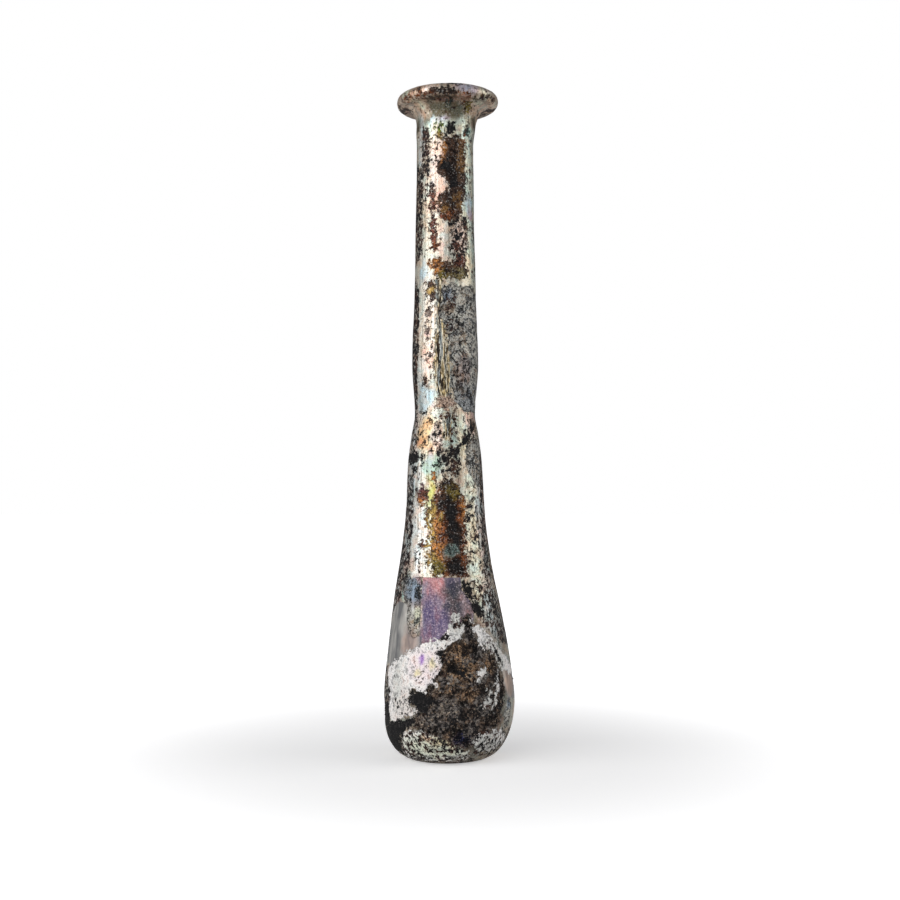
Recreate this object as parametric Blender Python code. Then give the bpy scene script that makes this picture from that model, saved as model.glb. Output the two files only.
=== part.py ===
"""A Roman blown-glass unguentarium, a slim flask for scented oil.

It is one piece of glass, hollow from its mouth to its floor: a tear-shaped belly, a long flank that narrows to a
pinched waist, a long neck that swells just above the waist, and a flared mouth with a thick rolled lip. The glass
was shaped by hand, so its centre line wanders a little and the lip is tilted. It stands on the flat of its
underside.

Metres, +Z up. The origin is under the middle of the belly, on the plane that the vessel stands on.
"""

import math

import bmesh
import bpy

# The underside
FOOT_RADIUS = 0.0074  # outer edge of the flat that it stands on
KICK_RADIUS = 0.0036  # hollow that the pontil left in the middle of the flat
KICK_DEPTH = 0.0007

# The outside, ring by ring from the foot up. A rise is measured from the ring before it.
BELLY_RISE = 0.0142
BELLY_RADIUS = 0.0155
FLANK_RISE = 0.0100
FLANK_RADIUS = 0.0145
SLOPE_RISE = 0.0110
SLOPE_RADIUS = 0.0128
STEM_RISE = 0.0112
STEM_RADIUS = 0.0108
UPPER_STEM_RISE = 0.0114
UPPER_STEM_RADIUS = 0.0094
SHOULDER_RISE = 0.0113
SHOULDER_RADIUS = 0.0088
BROW_RISE = 0.0068  # where the shoulder starts to draw in
BROW_RADIUS = 0.0079
WAIST_RISE = 0.0043
WAIST_RADIUS = 0.0072
SWELL_RISE = 0.0116
SWELL_RADIUS = 0.0079
MID_NECK_RISE = 0.0189
MID_NECK_RADIUS = 0.0073
NECK_TOP_RISE = 0.0323
NECK_TOP_RADIUS = 0.0068
COLLAR_RISE = 0.0044
COLLAR_RADIUS = 0.0071

# Which of the rings, counted from the belly, the centre line bends at
STEM_RING = 3
MID_NECK_RING = 9
NECK_TOP_RING = 10

# The mouth
FLARE_RISE = 0.0060  # from the collar to the middle of the lip's roll
RIM_RADIUS = 0.0119
LIP_WIDTH = 0.0028  # the roll, measured level
LIP_HEIGHT = 0.0031
LIP_TILT_DEGREES = 0.8  # the lip stands higher on its +X side

# The glass, measured level except for the floor
BODY_WALL = 0.0014
NECK_WALL = 0.0015
FLOOR_THICKNESS = 0.0036

# How far the centre line stands off the belly's, along X
FOOT_OFFSET = -0.0005
STEM_OFFSET = -0.0009
NECK_OFFSET = -0.0010
RIM_OFFSET = -0.0004

# How round the lower belly and the floor are: 2 is an ellipse, and more is squarer
BELLY_FULLNESS = 2.45

# Where the flare meets the lip's roll, in degrees round the roll from its outermost point
ROLL_BELOW_DEGREES = -112.0
ROLL_ABOVE_DEGREES = 118.0

# How finely the solid is faceted
SIDES = 36
RING_SPACING = 0.0032
BELLY_STEPS = 9
FLARE_STEPS = 6
ROLL_STEP_DEGREES = 23.0
KICK_STEPS = 3


def outside_rings():
    """(height, radius) of each ring that the outside passes through, from the belly up to the collar."""
    rings = (
        (BELLY_RISE, BELLY_RADIUS),
        (FLANK_RISE, FLANK_RADIUS),
        (SLOPE_RISE, SLOPE_RADIUS),
        (STEM_RISE, STEM_RADIUS),
        (UPPER_STEM_RISE, UPPER_STEM_RADIUS),
        (SHOULDER_RISE, SHOULDER_RADIUS),
        (BROW_RISE, BROW_RADIUS),
        (WAIST_RISE, WAIST_RADIUS),
        (SWELL_RISE, SWELL_RADIUS),
        (MID_NECK_RISE, MID_NECK_RADIUS),
        (NECK_TOP_RISE, NECK_TOP_RADIUS),
        (COLLAR_RISE, COLLAR_RADIUS),
    )
    height = 0.0
    placed = []
    for rise, radius in rings:
        height += rise
        placed.append((height, radius))
    return placed


def slopes_through(points):
    """The slope of a smooth curve at each (x, y) point: level at a peak or a hollow, so that it never overshoots."""
    secants = [(b[1] - a[1]) / (b[0] - a[0]) for a, b in zip(points, points[1:])]
    slopes = [0.0]
    for before, after in zip(secants, secants[1:]):
        turns = before * after <= 0
        slopes.append(0.0 if turns else 2 * before * after / (before + after))
    slopes.append(0.0)
    return slopes


def curve_at(points, slopes, x):
    """The height of that curve at x, by cubic Hermite pieces."""
    last = len(points) - 2
    piece = next((i for i in range(last) if x < points[i + 1][0]), last)
    (x0, y0), (x1, y1) = points[piece], points[piece + 1]
    span = x1 - x0
    t = min(max((x - x0) / span, 0.0), 1.0)
    return (
        y0 * (1 + 2 * t) * (1 - t) ** 2
        + slopes[piece] * span * t * (1 - t) ** 2
        + y1 * t * t * (3 - 2 * t)
        + slopes[piece + 1] * span * t * t * (t - 1)
    )


def wall_at(height, rings):
    """Thickness of the glass at a height between the belly and the collar."""
    share = (height - rings[0][0]) / (rings[-1][0] - rings[0][0])
    return BODY_WALL + (NECK_WALL - BODY_WALL) * share


def heights_between(rings):
    """Heights of the faceted rings from the belly to the collar, a ring at each place where the outline turns."""
    heights = [rings[0][0]]
    for (low, _), (high, _) in zip(rings, rings[1:]):
        steps = max(2, round((high - low) / RING_SPACING))
        heights += [low + (high - low) * step / steps for step in range(1, steps + 1)]
    return heights


def bowl(start_radius, start_height, end_radius, end_height):
    """(radius, height) points of a rounded bowl that leaves its start level and reaches its end upright."""
    points = []
    for step in range(BELLY_STEPS + 1):
        angle = math.pi / 2 * step / BELLY_STEPS
        out = math.sin(angle) ** (2 / BELLY_FULLNESS)
        down = math.cos(angle) ** (2 / BELLY_FULLNESS) if step < BELLY_STEPS else 0.0
        points.append(
            (
                start_radius + (end_radius - start_radius) * out,
                end_height - (end_height - start_height) * down,
            )
        )
    return points


def flare(start, end):
    """(radius, height) points of a quarter of an ellipse that leaves start upright and reaches end level."""
    points = []
    for step in range(1, FLARE_STEPS):
        angle = math.pi / 2 * step / FLARE_STEPS
        points.append(
            (
                start[0] + (end[0] - start[0]) * (1 - math.cos(angle)),
                start[1] + (end[1] - start[1]) * math.sin(angle),
            )
        )
    return points


def roll():
    """(radius, height) points of the lip's roll, from where the flare meets it below to where it meets it above."""
    middle_radius = RIM_RADIUS - LIP_WIDTH / 2
    middle_height = outside_rings()[-1][0] + FLARE_RISE
    sweep = ROLL_ABOVE_DEGREES - ROLL_BELOW_DEGREES
    steps = round(sweep / ROLL_STEP_DEGREES)
    points = []
    for step in range(steps + 1):
        angle = math.radians(ROLL_BELOW_DEGREES + sweep * step / steps)
        points.append(
            (
                middle_radius + LIP_WIDTH / 2 * math.cos(angle),
                middle_height + LIP_HEIGHT / 2 * math.sin(angle),
            )
        )
    return points


def outline():
    """The section of the glass as (radius, height), from the underside's middle round to the floor's middle."""
    rings = outside_rings()
    slopes = slopes_through(rings)
    kick = [
        (
            KICK_RADIUS * step / KICK_STEPS,
            KICK_DEPTH * math.cos(math.pi / 2 * step / KICK_STEPS) ** 2,
        )
        for step in range(KICK_STEPS + 1)
    ]
    lower_belly = bowl(FOOT_RADIUS, 0.0, BELLY_RADIUS, BELLY_RISE)[:-1]
    heights = heights_between(rings)
    outside = [(curve_at(rings, slopes, height), height) for height in heights]
    bore = [(radius - wall_at(height, rings), height) for radius, height in outside]
    lip = roll()
    below = flare(outside[-1], lip[0])
    above = flare(bore[-1], lip[-1])
    floor = bowl(0.0, FLOOR_THICKNESS, bore[0][0], BELLY_RISE)[:-1]
    return (
        kick + lower_belly + outside + below + lip + above[::-1] + bore[::-1] + floor[::-1]
    )


def centre_line(height):
    """How far the centre of the glass stands along X at a height."""
    rings = outside_rings()
    rim_height = rings[-1][0] + FLARE_RISE
    points = [
        (0.0, FOOT_OFFSET),
        (BELLY_RISE, 0.0),
        (rings[STEM_RING][0], STEM_OFFSET),
        (rings[MID_NECK_RING][0], NECK_OFFSET),
        (rings[NECK_TOP_RING][0], NECK_OFFSET),
        (rim_height, RIM_OFFSET),
    ]
    return curve_at(points, slopes_through(points), height)


def lip_lift(height, across):
    """How far the tilt of the mouth lifts a point that stands across from the centre line, along X."""
    neck_top = outside_rings()[NECK_TOP_RING][0]
    share = min(max((height - neck_top) / (COLLAR_RISE + FLARE_RISE), 0.0), 1.0)
    return across * math.tan(math.radians(LIP_TILT_DEGREES)) * share * share * (3 - 2 * share)


def ring_of(mesh, radius, height):
    """A ring of vertices round the centre line, or the one vertex where the radius is nothing."""
    middle = centre_line(height)
    if radius == 0:
        return [mesh.verts.new((middle, 0.0, height))]
    ring = []
    for side in range(SIDES):
        angle = 2 * math.pi * side / SIDES
        across = radius * math.cos(angle)
        place = (middle + across, radius * math.sin(angle), height + lip_lift(height, across))
        ring.append(mesh.verts.new(place))
    return ring


def skin(mesh, lower, upper):
    """Faces between two rings that follow each other along the outline."""
    for side in range(SIDES):
        after = (side + 1) % SIDES
        if len(lower) == 1:
            mesh.faces.new((lower[0], upper[after], upper[side]))
        elif len(upper) == 1:
            mesh.faces.new((lower[side], lower[after], upper[0]))
        else:
            mesh.faces.new((lower[side], lower[after], upper[after], upper[side]))


def glass():
    """The finish: old glass under a silvery weathering film."""
    material = bpy.data.materials.new("weathered_glass")
    material.use_nodes = True
    shader = material.node_tree.nodes["Principled BSDF"]
    shader.inputs["Base Color"].default_value = (0.52, 0.48, 0.42, 1.0)
    shader.inputs["Metallic"].default_value = 0.35
    shader.inputs["Roughness"].default_value = 0.3
    return material


def vessel():
    """The whole vessel, turned round its wandering centre line."""
    mesh = bmesh.new()
    rings = [ring_of(mesh, radius, height) for radius, height in outline()]
    for lower, upper in zip(rings, rings[1:]):
        skin(mesh, lower, upper)
    bmesh.ops.recalc_face_normals(mesh, faces=mesh.faces)
    data = bpy.data.meshes.new("vessel")
    mesh.to_mesh(data)
    mesh.free()
    data.shade_smooth()
    data.materials.append(glass())
    made = bpy.data.objects.new("vessel", data)
    bpy.context.scene.collection.objects.link(made)
    return made


def main():
    for old in list(bpy.data.objects):
        bpy.data.objects.remove(old)
    vessel()


main()
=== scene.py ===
"""The looks of a Roman blown-glass unguentarium, a slim flask for scented oil.

Old glass, weathered in the ground. A silvery ivory film lies over most of it, spotted with brown and black
where it has pitted. Below the film show amber stains, grey glass, a smooth violet layer, a white crust and a
brown crust of soil. The vessel stands upright on its own underside.

Metres, +Z up. A place on the outside is given by its height in millimetres and by its turn in degrees from
the front (-Y), positive towards +X.
"""

import logging
import math
from dataclasses import dataclass, field, replace
from enum import Enum

import bpy
import numpy as np
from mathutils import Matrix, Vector, noise


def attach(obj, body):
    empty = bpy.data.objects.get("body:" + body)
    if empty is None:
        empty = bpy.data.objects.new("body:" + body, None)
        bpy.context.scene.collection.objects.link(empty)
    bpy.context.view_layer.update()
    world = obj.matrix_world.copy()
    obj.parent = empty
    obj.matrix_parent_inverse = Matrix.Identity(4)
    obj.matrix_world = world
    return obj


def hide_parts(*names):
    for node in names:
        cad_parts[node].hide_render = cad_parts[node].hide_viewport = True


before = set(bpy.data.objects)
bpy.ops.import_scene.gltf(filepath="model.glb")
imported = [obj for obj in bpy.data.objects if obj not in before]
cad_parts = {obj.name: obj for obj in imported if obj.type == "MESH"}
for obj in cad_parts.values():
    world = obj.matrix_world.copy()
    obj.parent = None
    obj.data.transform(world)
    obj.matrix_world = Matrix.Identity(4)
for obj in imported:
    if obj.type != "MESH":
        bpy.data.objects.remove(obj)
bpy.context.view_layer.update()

MM = 0.001
LOG = logging.getLogger("unguentarium")

Socket = bpy.types.NodeSocket
Colour = tuple[float, float, float]

FAR_OUTSIDE = -4.0  # what a field holds where no patch is near, in millimetres
PITS_INSIDE = 0.25  # how dense the pits of the inside are


class Field(Enum):
    """What a patch of the surface is. Each is an attribute of the mesh, in millimetres inside its edge."""

    STREAKS = "streaks"
    STAIN = "stain"
    GREY = "grey"
    VIOLET = "violet"
    BARE = "bare"
    PITS = "pits"
    CRUST = "crust"
    SOIL = "soil"
    BLACK = "black"


@dataclass(frozen=True)
class Station:
    """A ring that the outside passes through, in metres."""

    height: float
    radius: float


@dataclass
class Section:
    """The section of the glass, from the middle of the underside round to the middle of the floor inside.

    The sizes are the solid's, in metres, and its angles are in degrees. A rise is measured from the station
    before it. The lip tilts more and more from neck_top up, over tilt_rise. The profile is worked out once,
    when reach() first needs it.
    """

    foot_radius: float = 0.0074
    kick_radius: float = 0.0036
    kick_depth: float = 0.0007
    rises: tuple[float, ...] = (
        0.0142, 0.0100, 0.0110, 0.0112, 0.0114, 0.0113, 0.0068, 0.0043, 0.0116, 0.0189, 0.0323, 0.0044,
    )
    radii: tuple[float, ...] = (
        0.0155, 0.0145, 0.0128, 0.0108, 0.0094, 0.0088, 0.0079, 0.0072, 0.0079, 0.0073, 0.0068, 0.0071,
    )
    flare_rise: float = 0.0060
    rim_radius: float = 0.0119
    lip_width: float = 0.0028
    lip_height: float = 0.0031
    lip_tilt: float = 0.8
    body_wall: float = 0.0014
    neck_wall: float = 0.0015
    floor_thickness: float = 0.0036
    fullness: float = 2.45
    centre: tuple[tuple[float, float], ...] = (
        (0.0, -0.0005), (0.0142, 0.0), (0.0464, -0.0009), (0.1107, -0.0010), (0.1430, -0.0010),
        (0.1534, -0.0004),
    )
    neck_top: float = 0.1430
    tilt_rise: float = 0.0104
    roll_below: float = -112.0
    roll_above: float = 118.0
    ring_spacing: float = 0.00046
    inner_spacing: float = 0.0022
    bowl_steps: int = 30
    inner_bowl_steps: int = 12
    kick_steps: int = 8
    flat_steps: int = 8
    flare_steps: int = 12
    roll_steps: int = 16
    profile: tuple = ()

    def stations(self) -> list[Station]:
        """The rings from the belly up to the collar."""
        heights = np.cumsum(self.rises)
        return [Station(float(height), radius) for height, radius in zip(heights, self.radii)]

    @staticmethod
    def curve(points: list[tuple[float, float]], x: np.ndarray) -> np.ndarray:
        """A smooth curve through points, level at each peak and hollow.

        Args:
            points: (x, y) places in order.
            x: where the curve is wanted.

        Returns:
            The curve's y at each x.
        """
        px, py = (np.array(column, float) for column in zip(*points))
        secants = np.diff(py) / np.diff(px)
        slopes = np.zeros(len(px))
        for i in range(1, len(px) - 1):
            before, after = secants[i - 1], secants[i]
            if before * after > 0:
                slopes[i] = 2 * before * after / (before + after)
        x = np.clip(np.asarray(x, float), px[0], px[-1])
        piece = np.clip(np.searchsorted(px, x, side="right") - 1, 0, len(px) - 2)
        span = px[piece + 1] - px[piece]
        t = (x - px[piece]) / span
        return (
            py[piece] * (1 + 2 * t) * (1 - t) ** 2
            + slopes[piece] * span * t * (1 - t) ** 2
            + py[piece + 1] * t * t * (3 - 2 * t)
            + slopes[piece + 1] * span * t * t * (t - 1)
        )

    def outside_radius(self, height: np.ndarray) -> np.ndarray:
        """The outside's radius at heights from the belly to the collar."""
        return self.curve([(s.height, s.radius) for s in self.stations()], height)

    def centre_at(self, height: np.ndarray) -> np.ndarray:
        """How far the centre line stands along X at each height."""
        return self.curve(list(self.centre), height)

    def bowl(self, start: tuple[float, float], end: tuple[float, float], steps: int) -> np.ndarray:
        """A rounded bowl, level at its start and upright at its end.

        Args:
            start: the radius and height that it starts from.
            end: the radius and height that it leads to, which aren't among its points.
            steps: how many points it has.

        Returns:
            (radius, height) rows.
        """
        angle = np.linspace(0, math.pi / 2, steps, endpoint=False)
        out = np.sin(angle) ** (2 / self.fullness)
        down = np.cos(angle) ** (2 / self.fullness)
        return np.column_stack((start[0] + (end[0] - start[0]) * out, end[1] - (end[1] - start[1]) * down))

    def quarter(self, start: np.ndarray, end: np.ndarray) -> np.ndarray:
        """A quarter of an ellipse, upright at its start and level at its end.

        Args:
            start: the radius and height that it leaves.
            end: the radius and height that it leads to. Neither is among its points.

        Returns:
            (radius, height) rows.
        """
        angle = np.linspace(0, math.pi / 2, self.flare_steps, endpoint=False)[1:]
        return np.column_stack(
            (
                start[0] + (end[0] - start[0]) * (1 - np.cos(angle)),
                start[1] + (end[1] - start[1]) * np.sin(angle),
            )
        )

    def points(self) -> tuple[np.ndarray, int, int]:
        """The whole section.

        Returns:
            (radius, centre offset, height) rows, how many rows the outside has up to the flare, and how many
            it has with the lip's roll.
        """
        stations = self.stations()
        belly, collar = stations[0], stations[-1]
        turn = np.linspace(0, math.pi / 2, self.kick_steps, endpoint=False)
        kick = np.column_stack((self.kick_radius * turn * 2 / math.pi, self.kick_depth * np.cos(turn) ** 2))
        flat = np.linspace(self.kick_radius, self.foot_radius, self.flat_steps, endpoint=False)
        flat = np.column_stack((flat, np.zeros(self.flat_steps)))
        lower = self.bowl((self.foot_radius, 0.0), (belly.radius, belly.height), self.bowl_steps)
        heights = np.arange(belly.height, collar.height, self.ring_spacing)
        outside = np.column_stack((self.outside_radius(heights), heights))
        angle = np.radians(np.linspace(self.roll_below, self.roll_above, self.roll_steps))
        middle = collar.height + self.flare_rise
        lip = np.column_stack(
            (
                self.rim_radius - self.lip_width / 2 * (1 - np.cos(angle)),
                middle + self.lip_height / 2 * np.sin(angle),
            )
        )
        below = self.quarter(np.array((collar.radius, collar.height)), lip[0])
        inner_heights = np.arange(belly.height, collar.height, self.inner_spacing)
        share = (inner_heights - belly.height) / (collar.height - belly.height)
        wall = self.body_wall + (self.neck_wall - self.body_wall) * share
        bore = np.column_stack((self.outside_radius(inner_heights) - wall, inner_heights))
        above = self.quarter(bore[-1], lip[-1])
        floor = self.bowl((0.0, self.floor_thickness), (bore[0][0], belly.height), self.inner_bowl_steps)
        outer = np.concatenate((kick, flat, lower, outside, below))
        rows = np.concatenate((outer, lip, above[::-1], bore[::-1], floor[::-1]))
        placed = np.column_stack((rows[:, 0], self.centre_at(rows[:, 1]), rows[:, 1]))
        return placed, len(outer), len(outer) + len(lip)

    def reach(self, height: float) -> float:
        """The outside's radius at a height.

        Args:
            height: a height up to the rim, in millimetres.

        Returns:
            The radius there, in millimetres.
        """
        if not self.profile:
            rows, _, lip_end = self.points()
            skin = rows[self.kick_steps + self.flat_steps:lip_end]
            top = int(np.argmax(skin[:, 0] * (skin[:, 2] > self.neck_top)))
            self.profile = (skin[:top, 2] / MM, skin[:top, 0] / MM)
        return float(np.interp(height, *self.profile))


class Nodes:
    """Shorthand for building one node tree."""

    def __init__(self, tree: bpy.types.NodeTree) -> None:
        """Keeps the tree."""
        self.tree = tree

    def add(self, kind: str, **settings: object) -> bpy.types.Node:
        """Adds a node.

        Args:
            kind: the node's type.
            settings: its properties.

        Returns:
            The node.
        """
        node = self.tree.nodes.new(kind)
        for name, value in settings.items():
            setattr(node, name, value)
        return node

    def make(self, kind: str, given: dict[str, object], **settings: object) -> bpy.types.Node:
        """Adds a node with some of its inputs given.

        Args:
            kind: the node's type.
            given: what goes into each input, by the input's name.
            settings: the node's properties.

        Returns:
            The node.
        """
        node = self.add(kind, **settings)
        for name, value in given.items():
            self.put(node.inputs[name], value)
        return node

    def put(self, target: Socket, value: object) -> None:
        """Links a socket into another, or sets the other's own value.

        Args:
            target: the socket that receives.
            value: a socket or a value.
        """
        if isinstance(value, Socket):
            self.tree.links.new(value, target)
        elif isinstance(value, tuple) and len(value) == 3 and len(target.default_value) == 4:
            target.default_value = (*value, 1.0)
        else:
            target.default_value = value

    def math(self, operation: str, *values: object) -> Socket:
        """A Math node.

        Args:
            operation: what it does.
            values: what it does that to.

        Returns:
            Its result.
        """
        node = self.add("ShaderNodeMath", operation=operation)
        for target, value in zip(node.inputs, values):
            self.put(target, value)
        return node.outputs[0]

    def mix(self, share: object, first: object, second: object, blend: str = "MIX") -> Socket:
        """A colour between two others.

        Args:
            share: how much of the second there is.
            first: the colour below.
            second: the colour above.
            blend: how the second is laid over the first.

        Returns:
            The colour.
        """
        node = self.add("ShaderNodeMix", data_type="RGBA", blend_type=blend)
        self.put(node.inputs[0], share)
        self.put(node.inputs[6], first)
        self.put(node.inputs[7], second)
        return node.outputs[2]

    def tinted(self, first: object, *others: object) -> Socket:
        """A colour multiplied by others in turn.

        Args:
            first: the colour.
            others: what it is multiplied by.

        Returns:
            The product.
        """
        for other in others:
            first = self.mix(1.0, first, other, "MULTIPLY")
        return first

    def between(self, share: object, first: object, second: object) -> Socket:
        """A number between two others.

        Args:
            share: 0 for the first, 1 for the second.
            first: a number.
            second: another number.

        Returns:
            The number between them.
        """
        node = self.add("ShaderNodeMix", data_type="FLOAT")
        self.put(node.inputs[0], share)
        self.put(node.inputs[2], first)
        self.put(node.inputs[3], second)
        return node.outputs[0]

    def step(self, value: object, low: object, high: object) -> Socket:
        """0 below low, 1 above high, and smooth between.

        Args:
            value: what is looked at.
            low: where the step starts.
            high: where it ends.

        Returns:
            The step's height at the value.
        """
        ends = {"Value": value, "From Min": low, "From Max": high}
        return self.make("ShaderNodeMapRange", ends, interpolation_type="SMOOTHSTEP").outputs[0]

    def grain(
        self, place: Socket, scale: object, detail: float = 2.0, rough: float = 0.5, twist: float = 0.0
    ) -> Socket:
        """Noise.

        Args:
            place: where it is read.
            scale: its features per metre.
            detail: how many finer layers it has.
            rough: how strong those are.
            twist: how far it is distorted.

        Returns:
            A value round a half.
        """
        noisy = {"Vector": place, "Scale": scale, "Detail": detail, "Roughness": rough, "Distortion": twist}
        return self.make("ShaderNodeTexNoise", noisy).outputs[0]

    def ramp(self, share: Socket, *stops: tuple[float, Colour]) -> Socket:
        """A colour read off a row of stops.

        Args:
            share: where it is read, from 0 to 1.
            stops: where each stop is, and its colour.

        Returns:
            The colour.
        """
        node = self.add("ShaderNodeValToRGB")
        elements = node.color_ramp.elements
        while len(elements) < len(stops):
            elements.new(0.5)
        for element, (at, colour) in zip(elements, stops):
            element.position = at
            element.color = (*colour, 1.0)
        self.put(node.inputs[0], share)
        return node.outputs[0]

    def stretch(self, place: Socket, scale: Colour, shift: Colour = (0.0, 0.0, 0.0)) -> Socket:
        """The place, scaled and shifted."""
        return self.make("ShaderNodeMapping", {"Vector": place, "Scale": scale, "Location": shift}).outputs[0]

    def read(self, name: str) -> Socket:
        """A number that the mesh carries."""
        return self.add("ShaderNodeAttribute", attribute_name=name).outputs["Fac"]

    def tint(self, name: str) -> Socket:
        """A colour that the mesh carries."""
        return self.add("ShaderNodeAttribute", attribute_name=name).outputs["Color"]

    def place(self) -> Socket:
        """Object coordinates."""
        return self.add("ShaderNodeTexCoord").outputs["Object"]

    def use(self, group: bpy.types.NodeTree, **values: object) -> bpy.types.Node:
        """A node of a group, with its inputs given by name."""
        return self.make("ShaderNodeGroup", values, node_tree=group)

    def dress(self, geometry: Socket, material: bpy.types.Material, result: Socket) -> None:
        """Ends a Geometry Nodes tree: geometry without instances, in its material.

        Args:
            geometry: what the tree has made.
            material: what it wears.
            result: the socket that the tree ends in.
        """
        whole = self.make("GeometryNodeRealizeInstances", {"Geometry": geometry})
        dressed = self.make("GeometryNodeSetMaterial", {"Geometry": whole.outputs[0], "Material": material})
        self.put(result, dressed.outputs[0])


def new_group(
    name: str, inputs: dict[str, str], outputs: dict[str, str], kind: str = "ShaderNodeTree"
) -> tuple[Nodes, dict, dict]:
    """An empty node group.

    Args:
        name: the group's name.
        inputs: the kind of each input socket, by name.
        outputs: the kind of each output socket, by name.
        kind: the type of its tree.

    Returns:
        Shorthand for the group's tree, its inputs' sockets by name, and its outputs' sockets by name.
    """
    tree = bpy.data.node_groups.new(name, kind)
    for side, sockets in (("INPUT", inputs), ("OUTPUT", outputs)):
        for label, holds in sockets.items():
            tree.interface.new_socket(label, in_out=side, socket_type="NodeSocket" + holds)
    nodes = Nodes(tree)
    given = nodes.add("NodeGroupInput")
    made = nodes.add("NodeGroupOutput")
    return nodes, {s.name: s for s in given.outputs if s.name}, {s.name: s for s in made.inputs if s.name}


class Effects:
    """The shader groups that the finishes share, each built once."""

    def __init__(self) -> None:
        """Builds every group."""
        self.edge = self.ragged_edge()
        self.spots = self.dendrites()
        self.lustre = self.film_lustre()
        self.speckle = self.fine_speckle()

    @staticmethod
    def ragged_edge() -> bpy.types.NodeTree:
        """A mask with a torn edge, from a field that gives the distance inside a smooth one.

        Returns:
            The group's tree.
        """
        nodes, given, made = new_group(
            "ragged_edge",
            {"Place": "Vector", "Field": "Float", "Scale": "Float", "Reach": "Float", "Soft": "Float"},
            {"Mask": "Float", "Rim": "Float"},
        )
        tear = nodes.grain(given["Place"], given["Scale"], 6.0, 0.72, 0.2)
        swing = nodes.math("MULTIPLY", nodes.math("SUBTRACT", tear, 0.5), 5.0)
        torn = nodes.math("MULTIPLY_ADD", swing, given["Reach"], given["Field"])
        low = nodes.math("MULTIPLY", given["Soft"], -1.0)
        mask = nodes.step(torn, low, given["Soft"])
        nodes.put(made["Mask"], mask)
        inner = nodes.math("ADD", given["Soft"], 0.35)
        nodes.put(made["Rim"], nodes.math("MULTIPLY", mask, nodes.step(torn, inner, given["Soft"])))
        return nodes.tree

    @staticmethod
    def dendrites() -> bpy.types.NodeTree:
        """Branching spots that crowd as the density goes from 0 to 1.

        Returns:
            The group's tree.
        """
        nodes, given, made = new_group(
            "pitted_spots",
            {"Place": "Vector", "Density": "Float", "Scale": "Float"},
            {"Mask": "Float", "Core": "Float"},
        )
        branches = nodes.grain(given["Place"], given["Scale"], 5.0, 0.70, 0.35)
        level = nodes.math("MULTIPLY_ADD", given["Density"], -0.23, 0.672)
        nodes.put(made["Mask"], nodes.step(branches, level, nodes.math("ADD", level, 0.025)))
        nodes.put(
            made["Core"], nodes.step(branches, nodes.math("ADD", level, 0.02), nodes.math("ADD", level, 0.12))
        )
        return nodes.tree

    @staticmethod
    def film_lustre() -> bpy.types.NodeTree:
        """The film's own play of colour, and its fine lengthwise lines.

        Returns:
            The group's tree.
        """
        nodes, given, made = new_group(
            "film_lustre", {"Place": "Vector", "Tint": "Color"}, {"Color": "Color", "Lines": "Float"}
        )
        cloud = nodes.grain(given["Place"], 300.0, 4.0, 0.65, 0.8)
        hues = nodes.ramp(
            cloud, (0.30, (0.62, 0.74, 0.86)), (0.40, (0.84, 0.98, 0.92)), (0.48, (1.0, 1.0, 0.96)),
            (0.56, (1.0, 0.90, 0.74)), (0.63, (1.0, 0.76, 0.62)), (0.72, (0.92, 0.66, 0.70)),
        )
        coloured = nodes.mix(0.8, given["Tint"], hues, "MULTIPLY")
        drawn = nodes.stretch(given["Place"], (1.0, 1.0, 0.06))
        lines = nodes.grain(drawn, 1700.0, 4.0, 0.65)
        level = nodes.step(lines, 0.34, 0.62)
        shade = nodes.ramp(
            level, (0.0, (0.58, 0.56, 0.52)), (0.5, (0.95, 0.95, 0.93)), (1.0, (1.0, 1.0, 1.0))
        )
        nodes.put(made["Color"], nodes.tinted(coloured, shade))
        nodes.put(made["Lines"], level)
        return nodes.tree

    @staticmethod
    def fine_speckle() -> bpy.types.NodeTree:
        """The finest pits and bright grains, a fifth of a millimetre across.

        Returns:
            The group's tree.
        """
        nodes, given, made = new_group(
            "fine_speckle", {"Place": "Vector", "Color": "Color", "Dark": "Float", "Light": "Float"},
            {"Color": "Color", "Grain": "Float"},
        )
        grain = nodes.grain(given["Place"], 3600.0, 3.0, 0.7)
        other = nodes.grain(nodes.stretch(given["Place"], (1.0, 1.0, 1.0), (0.7, 0.3, 0.1)), 2300.0, 3.0, 0.7)
        dark = nodes.math("MULTIPLY", nodes.step(grain, 0.455, 0.385), given["Dark"])
        light = nodes.math("MULTIPLY", nodes.step(other, 0.57, 0.66), given["Light"])
        deep = nodes.tinted(given["Color"], (0.16, 0.13, 0.12))
        coloured = nodes.mix(dark, given["Color"], deep)
        nodes.put(made["Color"], nodes.mix(light, coloured, (0.86, 0.84, 0.80)))
        nodes.put(made["Grain"], grain)
        return nodes.tree


@dataclass
class Coat:
    """How the surface looks at some stage. Each value is a number, a colour or a socket.

    Attributes:
        colour: its colour.
        roughness: how rough it is.
        metallic: how metallic it is.
        height: how far it stands out, in metres.
    """

    colour: object
    roughness: object
    metallic: object
    height: object

    def under(self, nodes: Nodes, over: "Coat", mask: object) -> "Coat":
        """This coat with another over it.

        Args:
            nodes: the tree that both are built in.
            over: the other coat.
            mask: 1 where the other covers this one.

        Returns:
            The two as one coat.
        """
        return Coat(
            nodes.mix(mask, self.colour, over.colour),
            nodes.between(mask, self.roughness, over.roughness),
            nodes.between(mask, self.metallic, over.metallic),
            nodes.between(mask, self.height, over.height),
        )


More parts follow.
